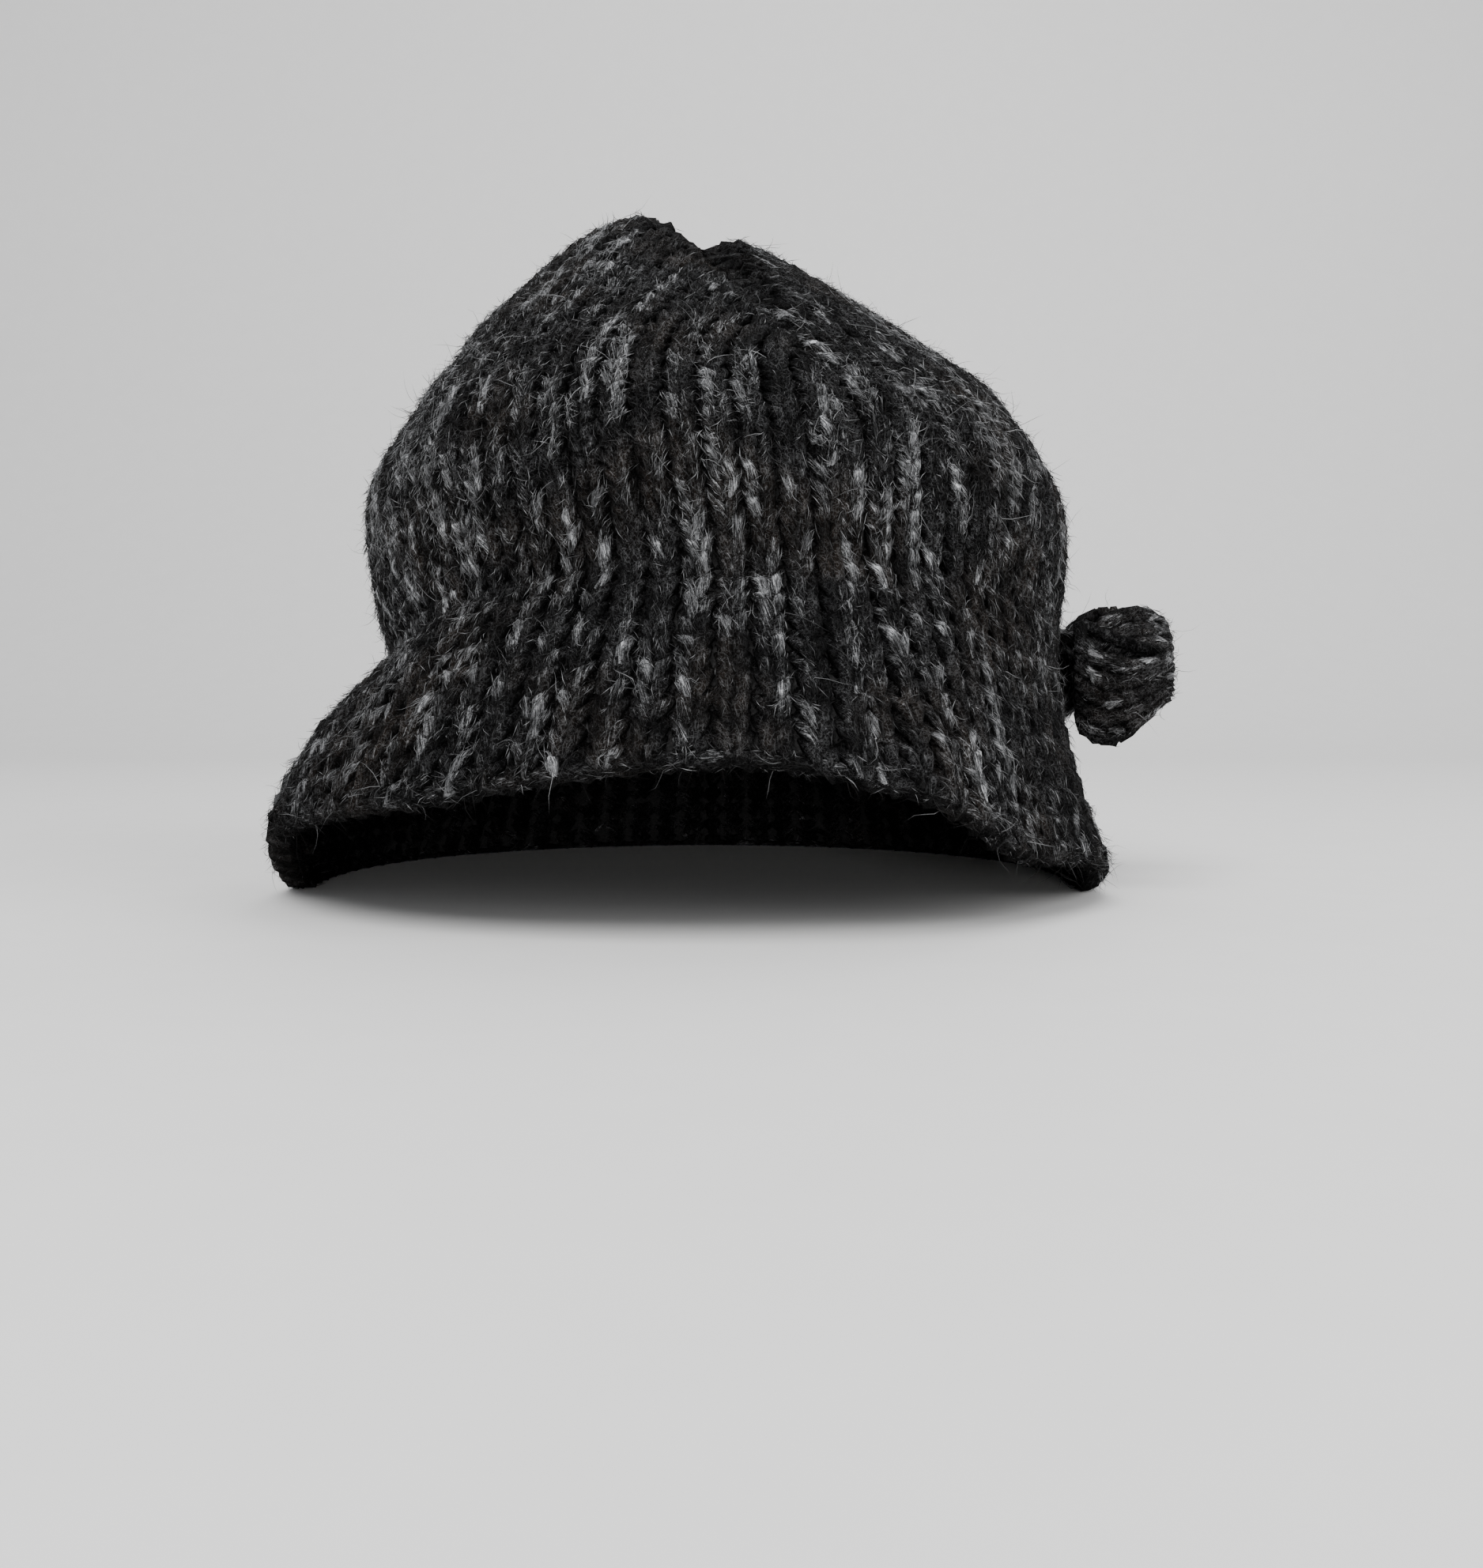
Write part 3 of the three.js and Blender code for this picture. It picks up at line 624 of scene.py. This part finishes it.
# Materials
class Shader:
    """A new material, with short ways to add nodes to it."""

    def __init__(self, name):
        self.material = bpy.data.materials.new(name)
        self.material.use_nodes = True
        self.nodes = self.material.node_tree.nodes
        self.links = self.material.node_tree.links
        self.surface = self.nodes["Principled BSDF"]

    def feed(self, socket, value):
        """Link a node's output to a socket, or set the socket to a constant."""
        if hasattr(value, "links"):
            self.links.new(value, socket)
        else:
            socket.default_value = value

    def fill(self, node, values):
        """Feed sockets of a node by name."""
        for name, value in values.items():
            self.feed(node.inputs[name], value)

    def maths(self, operation, *values):
        node = self.nodes.new("ShaderNodeMath")
        node.operation = operation
        for socket, value in zip(node.inputs, values):
            self.feed(socket, value)
        return node.outputs[0]

    def times(self, first, second):
        return self.maths("MULTIPLY", first, second)

    def vector(self, *values):
        node = self.nodes.new("ShaderNodeCombineXYZ")
        for socket, value in zip(node.inputs, values):
            self.feed(socket, value)
        return node.outputs[0]

    def attribute(self, name):
        node = self.nodes.new("ShaderNodeAttribute")
        node.attribute_name = name
        return node.outputs["Fac"]

    def place(self):
        return self.nodes.new("ShaderNodeTexCoord").outputs["Object"]

    def noise(self, vector, scale, detail=2.0, roughness=0.5):
        node = self.nodes.new("ShaderNodeTexNoise")
        self.fill(node, {"Vector": vector, "Scale": scale, "Detail": detail, "Roughness": roughness})
        return node.outputs["Fac"]

    def ranged(self, value, low, high, to_low=0.0, to_high=1.0):
        """A value moved softly from one range to another."""
        node = self.nodes.new("ShaderNodeMapRange")
        node.interpolation_type = "SMOOTHSTEP"
        self.fill(node, {"Value": value, "From Min": low, "From Max": high})
        self.fill(node, {"To Min": to_low, "To Max": to_high})
        return node.outputs[0]

    def mixed(self, factor, first, second, blend="MIX"):
        """A mix of two colours, whose sockets come after those of other kinds of value."""
        node = self.nodes.new("ShaderNodeMix")
        node.data_type = "RGBA"
        node.blend_type = blend
        for index, value in ((0, factor), (6, first), (7, second)):
            self.feed(node.inputs[index], value)
        return node.outputs[2]

    def bump(self, height, strength):
        node = self.nodes.new("ShaderNodeBump")
        self.fill(node, {"Height": height, "Strength": strength, "Distance": BUMP_DISTANCE})
        self.fill(self.surface, {"Normal": node.outputs["Normal"]})


def curly_hairs(wool, place):
    """Thin curling lines, where soft noises pass through their middle value."""
    hairs = None
    for scale, offset in HAIR_LAYERS:
        moved = wool.nodes.new("ShaderNodeVectorMath")
        moved.operation = "ADD"
        wool.feed(moved.inputs[0], place)
        wool.feed(moved.inputs[1], (offset, offset, offset))
        from_middle = wool.maths("SUBTRACT", wool.noise(moved.outputs[0], scale, 1.0), 0.5)
        line = wool.ranged(wool.maths("ABSOLUTE", from_middle), *HAIR_LINE)
        hairs = line if hairs is None else wool.maths("MAXIMUM", hairs, line)
    return hairs


def wool_material(name, dark, warm, light):
    """Marled wool: dark yarn with paler fibres twisted into it in flecks."""
    wool = Shader(name)
    layer = wool.nodes.new("ShaderNodeUVMap")
    layer.uv_map = "yarn"
    split = wool.nodes.new("ShaderNodeSeparateXYZ")
    wool.feed(split.inputs[0], layer.outputs["UV"])
    length, turn = split.outputs[0], split.outputs[1]
    place = wool.place()
    angle = wool.times(wool.maths("MULTIPLY_ADD", length, TWIST, turn), TAU)
    circle = (wool.maths("COSINE", angle), wool.maths("SINE", angle))

    def wound(around, lengthwise):
        """A place on the twisted yarn, stretched around and along it."""
        return wool.vector(*[wool.times(part, around) for part in circle], wool.times(length, lengthwise))

    # Plies are long patches, and fibres are fine streaks with a mat of curly hairs over them
    ply = wool.ranged(wool.noise(wound(**PLY), 1.0), *NOISE_MIDDLE)
    streak = wool.ranged(wool.noise(wound(**STREAK), **STREAK_NOISE), *NOISE_MIDDLE)
    hairs = curly_hairs(wool, place)
    fibre = wool.maths("MULTIPLY_ADD", hairs, HAIR_SHARE, wool.times(streak, STREAK_SHARE))
    # Flecks lie along the outer side of the yarn. The wool between the columns, and the sides of the yarn
    # that face into the knitting, are darker: painted shade
    facing = wool.maths("COSINE", wool.times(turn, TAU))
    facing = wool.maths("MAXIMUM", facing, wool.times(facing, INNER_FACING))
    groove = wool.ranged(wool.attribute("crest"), *GROOVE_SHADE)
    # outer places the flecks on the outer side of the yarn, and also carries the painted shade of its
    # inner sides and of the grooves
    outer = wool.times(wool.ranged(facing, *OUTER_SHADE), groove)
    level = wool.times(wool.times(wool.attribute("tone"), outer), LEVEL_SHARES["tone"])
    level = wool.maths("MULTIPLY_ADD", ply, LEVEL_SHARES["ply"], level)
    level = wool.maths("MULTIPLY_ADD", fibre, LEVEL_SHARES["fibre"], level)
    pale = wool.ranged(level, *PALE_LEVELS)
    tint = wool.ranged(wool.noise(place, TINT_SCALE), *TINT_RANGE)
    ground = wool.mixed(tint, dark, warm)
    ground = wool.mixed(wool.times(hairs, GROUND_HAIRS), ground, light)
    colour = wool.mixed(pale, ground, light)
    cloud = wool.ranged(wool.noise(place, CLOUD_SCALE), *CLOUD_SHADE)
    # The fibres' streaks and the patches are the wool's own tone; outer brings in the painted shade
    shade = wool.times(wool.times(wool.ranged(fibre, *FIBRE_SHADE), outer), cloud)
    shaded = wool.mixed(1.0, colour, wool.vector(shade, shade, shade), "MULTIPLY")
    roughness = wool.ranged(fibre, *WOOL_ROUGHNESS)
    wool.fill(wool.surface, {"Base Color": shaded, "Roughness": roughness})
    wool.fill(wool.surface, {"Specular IOR Level": WOOL_SPECULAR})
    wool.bump(fibre, WOOL_BUMP)
    return wool.material


def fluff_material(name, dark, light):
    """Loose wool fibres, some of them pale."""
    fluff = Shader(name)
    colour = fluff.mixed(fluff.attribute("tone"), dark, light)
    roughness = fluff.ranged(fluff.noise(fluff.place(), FLUFF_SCALE), *FLUFF_ROUGHNESS)
    fluff.fill(fluff.surface, {"Base Color": colour, "Roughness": roughness})
    fluff.fill(fluff.surface, {"Specular IOR Level": FLUFF_SPECULAR})
    return fluff.material


def felt_material(name, dark, light):
    """Felted depth behind the stitches."""
    felt = Shader(name)
    grain = felt.noise(felt.place(), **FELT_NOISE)
    colour = felt.mixed(felt.ranged(grain, *FELT_TONES), dark, light)
    roughness = felt.ranged(grain, *FELT_ROUGHNESS)
    felt.fill(felt.surface, {"Base Color": colour, "Roughness": roughness})
    felt.bump(grain, FELT_BUMP)
    return felt.material


WOOL = wool_material(
    "marled_wool",
    dark=(0.0045, 0.0043, 0.0045, 1), warm=(0.012, 0.0092, 0.0074, 1), light=(0.34, 0.346, 0.355, 1),
)
# Painted shade: a copy of the wool with darker pale fibres, standing in for the lesser light on the brim
SHADED_BRIM_WOOL = wool_material(
    "shaded_brim_wool",
    dark=(0.005, 0.0048, 0.005, 1), warm=(0.012, 0.0092, 0.0074, 1), light=(0.27, 0.274, 0.281, 1),
)
BOW_WOOL = wool_material(
    "bow_wool",
    dark=(0.006, 0.0058, 0.006, 1), warm=(0.011, 0.009, 0.008, 1), light=(0.42, 0.424, 0.432, 1),
)
FLUFF = fluff_material("loose_fibres", dark=(0.006, 0.0055, 0.0052, 1), light=(0.4, 0.405, 0.413, 1))
# Painted shade: the brim's fibres are a darker copy of the loose fibres
SHADED_BRIM_FLUFF = fluff_material("shaded_brim_fibres", dark=(0.005, 0.0046, 0.0044, 1), light=(0.32, 0.324, 0.33, 1))
FELT = felt_material("felted_ground", dark=(0.004, 0.0038, 0.0038, 1), light=(0.016, 0.0154, 0.0154, 1))


# Knitted hat
def knit_hat(rng):
    """Courses of the crown and of the brim."""
    crown, brim = [], []
    runs = np.random.default_rng(RUN_SEED).random((RUN_ROWS, 2 * WALES))
    areas = np.random.default_rng(AREA_SEED).random((AREA_ROWS, AREA_COLUMNS))
    for course in range(-BRIM_COURSES, CROWN_COURSES):
        on_brim = course < 0
        for sector in range(len(SECTOR_STARTS)):
            wales = sector_wales(sector, course)
            if len(wales) < 1:
                continue

            def surface(across, up, sector=sector):
                return hat_point(sector_heading(sector, across, up), up)

            legs = 2 * wales[:, None] + np.arange(2)
            courses = np.full_like(legs, course)
            run = patchy(runs, legs, courses / RUN_COURSES)
            area = patchy(areas, legs * AREA_COLUMNS / (2 * WALES), courses / AREA_COURSES)
            pale = smoothstep(run + AREA_SHARE * (area - 0.5), *(BRIM_FLECKS if on_brim else CROWN_FLECKS))
            ridge = BRIM_RIDGE if on_brim else CROWN_RIDGE
            # Painted shade on the columns next to each cleft, growing towards the top
            from_end = np.minimum(np.arange(len(wales)), np.arange(len(wales))[::-1])
            painted_cleft_shade = CLEFT_SHADE * np.exp(-((from_end / CLEFT_SPREAD) ** 2))
            painted_cleft_shade = painted_cleft_shade * smoothstep(course / CROWN_COURSES, *CLEFT_RISES)
            line = knit_course(surface, wales, course, WALL, rng, GAUGE, pale, ridge, painted_cleft_shade=painted_cleft_shade)
            (brim if on_brim else crown).append(line)
    return crown, brim


def felt_sheet():
    """A closed thin sheet deep in the wall, so that no light comes through between stitches."""
    brim_courses = np.linspace(-BRIM_COURSES, 0, FELT_BRIM_ROWS)
    crown_courses = np.linspace(0, CROWN_COURSES, FELT_CROWN_ROWS)[1:-1]
    courses = np.concatenate([brim_courses, crown_courses])
    heading, course = np.meshgrid(np.arange(WALES) * TAU / WALES, courses)
    outward, _ = surface_normals(hat_point, heading, course, HEADING_STEP, FELT_STEP)
    outside = hat_point(heading, course)
    points = np.concatenate([(outside - side * WALL * outward).reshape(-1, 3) for side in FELT_SIDES])
    points[:, 2] = np.maximum(points[:, 2], FELT_FLOOR)
    rows = len(courses)
    half = rows * WALES
    row = WALES * np.arange(rows - 1)[:, None]
    column = np.arange(WALES)
    after = (column + 1) % WALES
    quads = np.stack([row + column, row + after, row + WALES + after, row + WALES + column], axis=-1)
    rim = np.stack([column, half + column, half + after, after], axis=-1)
    top = half - WALES + column
    corners = [quads.ravel(), (half + quads[..., ::-1]).ravel(), rim.ravel(), top, half + top[::-1]]
    four_sided = 2 * (rows - 1) * WALES + WALES
    return points, np.concatenate(corners), np.concatenate([np.full(four_sided, 4), np.full(2, WALES)])


def rim_cord(rng):
    """Two strands side by side along the rim, where the knitting was cast on."""
    strands = []
    steps = WALES * RIM_STEPS + 1
    wale = np.linspace(0, WALES, steps)
    heading = SECTOR_STARTS[0] + wale * TAU / WALES
    course = np.full(steps, -BRIM_COURSES + RIM_COURSE)
    outward, _ = surface_normals(hat_point, heading, course, HEADING_STEP, RIM_STEP)
    middle = hat_point(heading, course)
    downward = unit(hat_point(heading, course - RIM_BELOW) - hat_point(heading, course + RIM_ABOVE))
    marl = np.random.default_rng(RIM_SEED)
    for depth in RIM_STRANDS:
        runs = np.interp(wale, np.arange(WALES + 1), marl.random(WALES + 1))
        tones = RIM_TONES[0] + RIM_TONES[1] * smoothstep(runs, *RIM_FLECKS)
        wave = RIM_WAVE * np.sin(wale * TAU + rng.uniform(0, TAU))
        wave = wave + RIM_DRIFT["share"] * np.cumsum(rng.normal(0, RIM_DRIFT["step"], steps))
        swell = RIM_RADIUS * (1 + RIM_SWELL * np.sin(wale * TAU + rng.uniform(0, TAU)))
        centres = middle + depth * outward + wave[:, None] * downward
        strands.append(yarn(centres, outward, swell, tones, rng, exposed=np.full(steps, RIM_EXPOSED)))
    return strands


# Loose fibres
def fibre_faces(rings):
    """Corners of the triangles of one spindle, from its root, ring by ring, to its tip."""
    tip = 1 + FIBRE_SIDES * rings
    faces = []
    for corner in range(FIBRE_SIDES):
        after = (corner + 1) % FIBRE_SIDES
        faces.append((0, 1 + after, 1 + corner))
        for ring in range(rings - 1):
            low = 1 + FIBRE_SIDES * ring
            high = low + FIBRE_SIDES
            faces.append((low + corner, low + after, high + after))
            faces.append((low + corner, high + after, high + corner))
        last = tip - FIBRE_SIDES
        faces.append((last + corner, last + after, tip))
    return np.array(faces)


def fibres(yarns, count, shortest, longest, rings, lift, wild, bend, thickness, rng, under):
    """Thin closed spindles that leave the yarn, curl and end in a point."""
    keys = ("centre", "ahead", "side", "up", "radius", "tone", "exposed", "crest")
    joined = {key: np.concatenate([one[key] for one in yarns]) for key in keys}
    chance = np.clip(joined["exposed"] + EXPOSED_MORE, *EXPOSED_LIMITS)
    chance = chance * (CREST_CHANCE[0] + CREST_CHANCE[1] * joined["crest"])
    chance = chance * (TONE_CHANCE[0] + TONE_CHANCE[1] * joined["tone"])
    pick = rng.choice(len(chance), count, p=chance / chance.sum())
    at = {key: values[pick] for key, values in joined.items()}
    angle = rng.uniform(-under, under, count)[:, None]
    spoke = np.cos(angle) * at["up"] + np.sin(angle) * at["side"]
    slide = rng.uniform(-FIBRE_SLIDE, FIBRE_SLIDE, count)[:, None] * at["ahead"]
    root = at["centre"] + slide + FIBRE_ROOT * at["radius"][:, None] * spoke
    length = (shortest + (longest - shortest) * rng.random(count) ** 2)[:, None]
    lie = at["ahead"] * rng.choice([-1, 1], count)[:, None]
    heading = unit(spoke * rng.uniform(*lift, count)[:, None] + lie + wild * rng.normal(size=(count, 3)))
    curl = bend * np.cross(heading, unit(rng.normal(size=(count, 3)))) - FIBRE_DROOP * spoke
    wave = FIBRE_WAVE * np.cross(heading, unit(rng.normal(size=(count, 3))))
    share = np.linspace(0, 1, rings + 2)[:, None, None]
    spine = root + length * (share * heading + share**2 * curl + np.sin(TAU * share) * wave)
    ahead = unit(spine[-1] - spine[0])
    side = unit(np.cross(ahead, spoke + FIBRE_TILT))
    up = np.cross(side, ahead)
    turn = TAU * np.arange(FIBRE_SIDES)[:, None] / FIBRE_SIDES
    width = np.linspace(1, FIBRE_TIP, rings)[:, None] * (thickness * rng.uniform(*FIBRE_WIDTHS, count))
    rim = np.cos(turn) * up[:, None] + np.sin(turn) * side[:, None]
    body = spine[1:-1, :, None] + width[:, :, None, None] * rim
    body = body.transpose(1, 0, 2, 3).reshape(count, -1, 3)
    points = np.concatenate([spine[0][:, None], body, spine[-1][:, None]], axis=1)
    each = points.shape[1]
    points = points.reshape(-1, 3)
    points[:, 2] = np.maximum(points[:, 2], FIBRE_FLOOR)
    corners = (np.arange(count)[:, None] * each + fibre_faces(rings).ravel()).ravel()
    grey = rng.random(count) < GREY_CHANCE * at["tone"]
    pale = np.where(grey, rng.uniform(*GREY_TONES, count), DARK_TONE * rng.random(count) ** 3)
    # Painted shade: fibres are darker in the grooves and beside clefts
    pale = pale * (GROOVE_FIBRE_SHADE[0] + GROOVE_FIBRE_SHADE[1] * at["crest"])
    return points, corners, np.full(len(corners) // 3, 3), np.repeat(pale, each)


# Bow
def turned(vector, axis, degrees):
    """A vector turned about an axis."""
    angle = np.radians(degrees)
    return (
        vector * np.cos(angle)
        + np.cross(axis, vector) * np.sin(angle)
        + axis * np.dot(axis, vector) * (1 - np.cos(angle))
    )


def brim_radius(heading, height):
    """Distance from the hat's axis to the outside of the brim at a height."""
    climb = np.linspace(0, 1, BRIM_LINE_STEPS)
    line = brim_point(np.full_like(climb, heading), climb)
    return np.interp(height, line[:, 2], np.hypot(line[:, 0], line[:, 1]))


BOW_TURN = np.radians(BOW_HEADING)
BOW_OUT = np.array([np.sin(BOW_TURN), -np.cos(BOW_TURN), 0])
BOW_SIDE = np.array([np.cos(BOW_TURN), np.sin(BOW_TURN), 0])
BOW_HEIGHT = crown_point(np.array([BOW_TURN]), np.array([0.0]))[0, 2] - BOW_DROP
BOW_MIDDLE = brim_radius(BOW_TURN, BOW_HEIGHT) * BOW_OUT + BOW_HEIGHT * UP


def bow_strip(reach, fan, climb, sag, roll, pinch, height, tip, open, skew, seat, aside):
    """Outside of a loop of the bow, by the share across the strip and the turn around the loop."""
    axis = turned(BOW_OUT, UP, fan)
    upright = turned(UP, axis, roll)
    across = np.cross(upright, axis)
    start = BOW_MIDDLE + seat * BOW_OUT + np.sign(fan) * aside * BOW_SIDE

    def rail(turn):
        far = (1 - np.cos(turn)) / 2
        rise = climb * far - 4 * sag * far * (1 - far)
        apart = (BOW_STRIP / 2 + BOW_GAP) * np.cos(turn / 2) + open * np.sin(turn) * np.sin(turn / 2)
        return start + far[..., None] * reach * axis + rise[..., None] * UP + apart[..., None] * across

    def surface(share, turn):
        steer = np.clip(turn, BOW_END, TAU - BOW_END)
        ahead = unit(rail(steer + BOW_RAIL_STEP) - rail(steer - BOW_RAIL_STEP))
        through = unit(np.cross(upright, ahead))
        far = (1 - np.cos(turn)) / 2
        tall = pinch * (1 - far) * (1 - 2 * far) + 4 * height * far * (1 - far)
        tall = tall + tip * far * (2 * far - 1)
        arch = BOW_ARCH * np.sin(turn / 2) * (1 - 4 * share**2) + BOW_STRIP / 2
        up = tall * share + skew * np.sin(turn)
        return rail(turn) + up[..., None] * upright + arch[..., None] * through

    return surface, rail


def bow_felt(surface, courses):
    """A closed thin sheet in the middle of a loop's strip."""
    columns, rows = BOW_FELT_GRID
    share, course = np.meshgrid(
        np.linspace(BOW_FELT_INSET, BOW_WALES - BOW_FELT_INSET, columns),
        np.linspace(BOW_FELT_INSET, courses - BOW_FELT_INSET, rows),
    )
    outward, _ = surface_normals(surface, share, course)
    outside = surface(share, course)
    sides = [(outside - side * BOW_STRIP * outward).reshape(-1, 3) for side in BOW_FELT_SIDES]
    half = rows * columns
    row, column = np.meshgrid(np.arange(rows - 1), np.arange(columns - 1), indexing="ij")
    corner = (row * columns + column).ravel()
    quads = np.stack([corner, corner + 1, corner + columns + 1, corner + columns], axis=-1)
    edge = np.concatenate(
        [
            np.arange(columns),
            np.arange(2, rows + 1) * columns - 1,
            np.arange(half - 2, half - columns - 1, -1),
            np.arange(rows - 2, 0, -1) * columns,
        ]
    )
    after = np.roll(edge, -1)
    walls = np.stack([edge, half + edge, half + after, after], axis=-1)
    faces = np.concatenate([quads, half + quads[:, ::-1], walls])
    return np.concatenate(sides), faces.ravel(), np.full(len(faces), 4)


def knit_bow_loop(loop, rng):
    """Courses across the strip of a loop, evenly spaced along it, and a thin sheet in its middle."""
    strip, rail = bow_strip(**loop)
    turns = np.linspace(0, TAU, BOW_RAIL_STEPS)
    run = np.concatenate([[0], np.cumsum(np.linalg.norm(np.diff(rail(turns), axis=0), axis=1))])
    courses = int(round(run[-1] / BOW_COURSE))

    def surface(across, up):
        turn = np.interp(np.clip(up / courses, 0, 1) * run[-1], run, turns)
        return strip(across / BOW_WALES - 0.5, turn)

    wales = np.arange(BOW_WALES, dtype=float)
    yarns = []
    for course in range(courses):
        pale = smoothstep(rng.random((BOW_WALES, 2)), *BOW_FLECKS)
        line = knit_course(surface, wales, course, BOW_STRIP, rng, BOW_GAUGE, pale, BOW_RIDGE, BOW_YARN)
        yarns.append(line)
    return yarns, bow_felt(surface, courses)


def knot_strands(rng):
    """Turns of yarn over the pinch of the bow."""
    strands = []
    turn = np.linspace(-0.5 * np.pi, 0.5 * np.pi, WRAP_STEPS)
    up = (KNOT_HALF_HEIGHT - WRAP_INSET) * np.sin(turn)
    wall = brim_radius(BOW_TURN, BOW_HEIGHT + up)
    outward = unit(np.cos(turn)[:, None] * BOW_OUT + np.sin(turn)[:, None] * UP)
    for side in np.linspace(-KNOT_HALF_WIDTH, KNOT_HALF_WIDTH, WRAP_TURNS):
        bulge = np.sqrt(1 - WRAP_ROUNDING * (side / KNOT_HALF_WIDTH) ** 2)
        out = wall - WRAP_INSET + (KNOT_RISE - WRAP_SINK) * bulge * np.cos(turn)
        out = out + rng.normal(0, WRAP_UNEVEN["out"])
        lean = side + WRAP_UNEVEN["lean"] * np.sin(turn) * rng.normal(0, 1)
        centres = out[:, None] * BOW_OUT + lean[:, None] * BOW_SIDE + (BOW_HEIGHT + up)[:, None] * UP
        radii = np.full(WRAP_STEPS, BOW_YARN)
        strands.append(yarn(centres, outward, radii, rng.random(WRAP_STEPS), rng))
    return strands


# Pieces
def add_knit(name, yarns, material, node):
    """A piece of knitting that stands for a solid."""
    points, corners, sizes, uv, values = yarn_mesh(yarns)
    piece = mesh_piece(name, points, corners, sizes, material, uv, **values)
    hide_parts(node)


def add_fluff(name, yarns, material, rng, under=FIBRE_ANGLE):
    """Loose fibres on a piece of knitting: short ones that lie on it and long ones that stand out."""
    for kind, settings in (("fuzz", FUZZ), ("hairs", HAIRS)):
        count = FIBRE_COUNTS[name][kind]
        points, corners, sizes, tones = fibres(yarns, count, rng=rng, under=under, **settings)
        piece = mesh_piece(f"{name}_{kind}", points, corners, sizes, material, tone=tones)


rng = np.random.default_rng(SEED)
crown_yarns, brim_yarns = knit_hat(rng)
front = [one for one in crown_yarns if one["centre"][:, 1].mean() < 0]
back = [one for one in crown_yarns if one["centre"][:, 1].mean() >= 0]
add_knit("crown_knit_front", front, WOOL, "crown")
add_knit("crown_knit_back", back, WOOL, "crown")
add_knit("brim_knit", brim_yarns, SHADED_BRIM_WOOL, "brim")
rim_yarns = rim_cord(rng)
add_knit("rim_edge", rim_yarns, SHADED_BRIM_WOOL, "brim")
ground = mesh_piece("felted_ground", *felt_sheet(), FELT)
add_fluff("crown_front", front, FLUFF, rng)
add_fluff("crown_back", back, FLUFF, rng)
add_fluff("brim", brim_yarns + rim_yarns, SHADED_BRIM_FLUFF, rng)
add_fluff("rim", rim_yarns, SHADED_BRIM_FLUFF, np.random.default_rng(RIM_FLUFF_SEED), under=np.pi)
bow_yarns = []
for name, loop in BOW_LOOPS.items():
    yarns, felt = knit_bow_loop(loop, rng)
    add_knit(f"bow_knit_{name}", yarns, BOW_WOOL, f"bow_loop_{name}")
    sheet = mesh_piece(f"bow_ground_{name}", *felt, FELT)
    bow_yarns += yarns
strands = knot_strands(rng)
add_knit("bow_wrap", strands, BOW_WOOL, "bow_knot")
add_fluff("bow", bow_yarns + strands, FLUFF, rng)


# Floor and backdrop: one sweep
def add_sweep(front, bend_start, bend_radius, top, half_width):
    bend = np.linspace(0, np.pi / 2, SWEEP_STEPS)
    run = np.concatenate([[front], bend_start + bend_radius * np.sin(bend), [bend_start + bend_radius]])
    rise = np.concatenate([[0], bend_radius * (1 - np.cos(bend)), [top]])
    points = [(x * MM, y * MM, z * MM) for y, z in zip(run, rise) for x in (-half_width, half_width)]
    faces = [(2 * row, 2 * row + 1, 2 * row + 3, 2 * row + 2) for row in range(len(run) - 1)]
    mesh = bpy.data.meshes.new("floor")
    mesh.from_pydata(points, [], faces)
    mesh.shade_smooth()
    paint = Shader("pale_floor")
    grain = paint.noise(paint.place(), **SWEEP_NOISE)
    colour = paint.mixed(grain, *SWEEP_COLOURS)
    paint.fill(paint.surface, {"Base Color": colour, "Roughness": SWEEP_ROUGHNESS})
    mesh.materials.append(paint.material)
    floor = bpy.data.objects.new("floor", mesh)
    bpy.context.scene.collection.objects.link(floor)


def add_light(name, place, aim, size, power):
    light = bpy.data.lights.new(name, "AREA")
    light.size = size
    light.energy = power
    lamp = bpy.data.objects.new(name, light)
    lamp.location = place
    lamp.rotation_mode = "QUATERNION"
    lamp.rotation_quaternion = (Vector(aim) - Vector(place)).to_track_quat("-Z", "Y")
    bpy.context.scene.collection.objects.link(lamp)


def add_world():
    world = bpy.data.worlds.new("studio")
    world.use_nodes = True
    background = world.node_tree.nodes["Background"]
    background.inputs["Color"].default_value = WORLD_COLOUR
    background.inputs["Strength"].default_value = WORLD_STRENGTH
    bpy.context.scene.world = world


def add_camera():
    camera = bpy.data.objects.new("camera", bpy.data.cameras.new("camera"))
    camera.data.sensor_width = SENSOR
    camera.data.clip_start = NEAREST_SEEN
    camera.data.lens = FOCAL_PIXELS / PHOTO_HEIGHT * SENSOR
    camera.location = Vector((CAMERA_PLACE + SHIFT) * MM)
    camera.rotation_euler = (np.radians(90 - CAMERA_PITCH), 0, 0)
    bpy.context.scene.collection.objects.link(camera)
    bpy.context.scene.camera = camera


add_sweep(**SWEEP)
for name, settings in LIGHTS.items():
    add_light(name, **settings)
add_world()
add_camera()
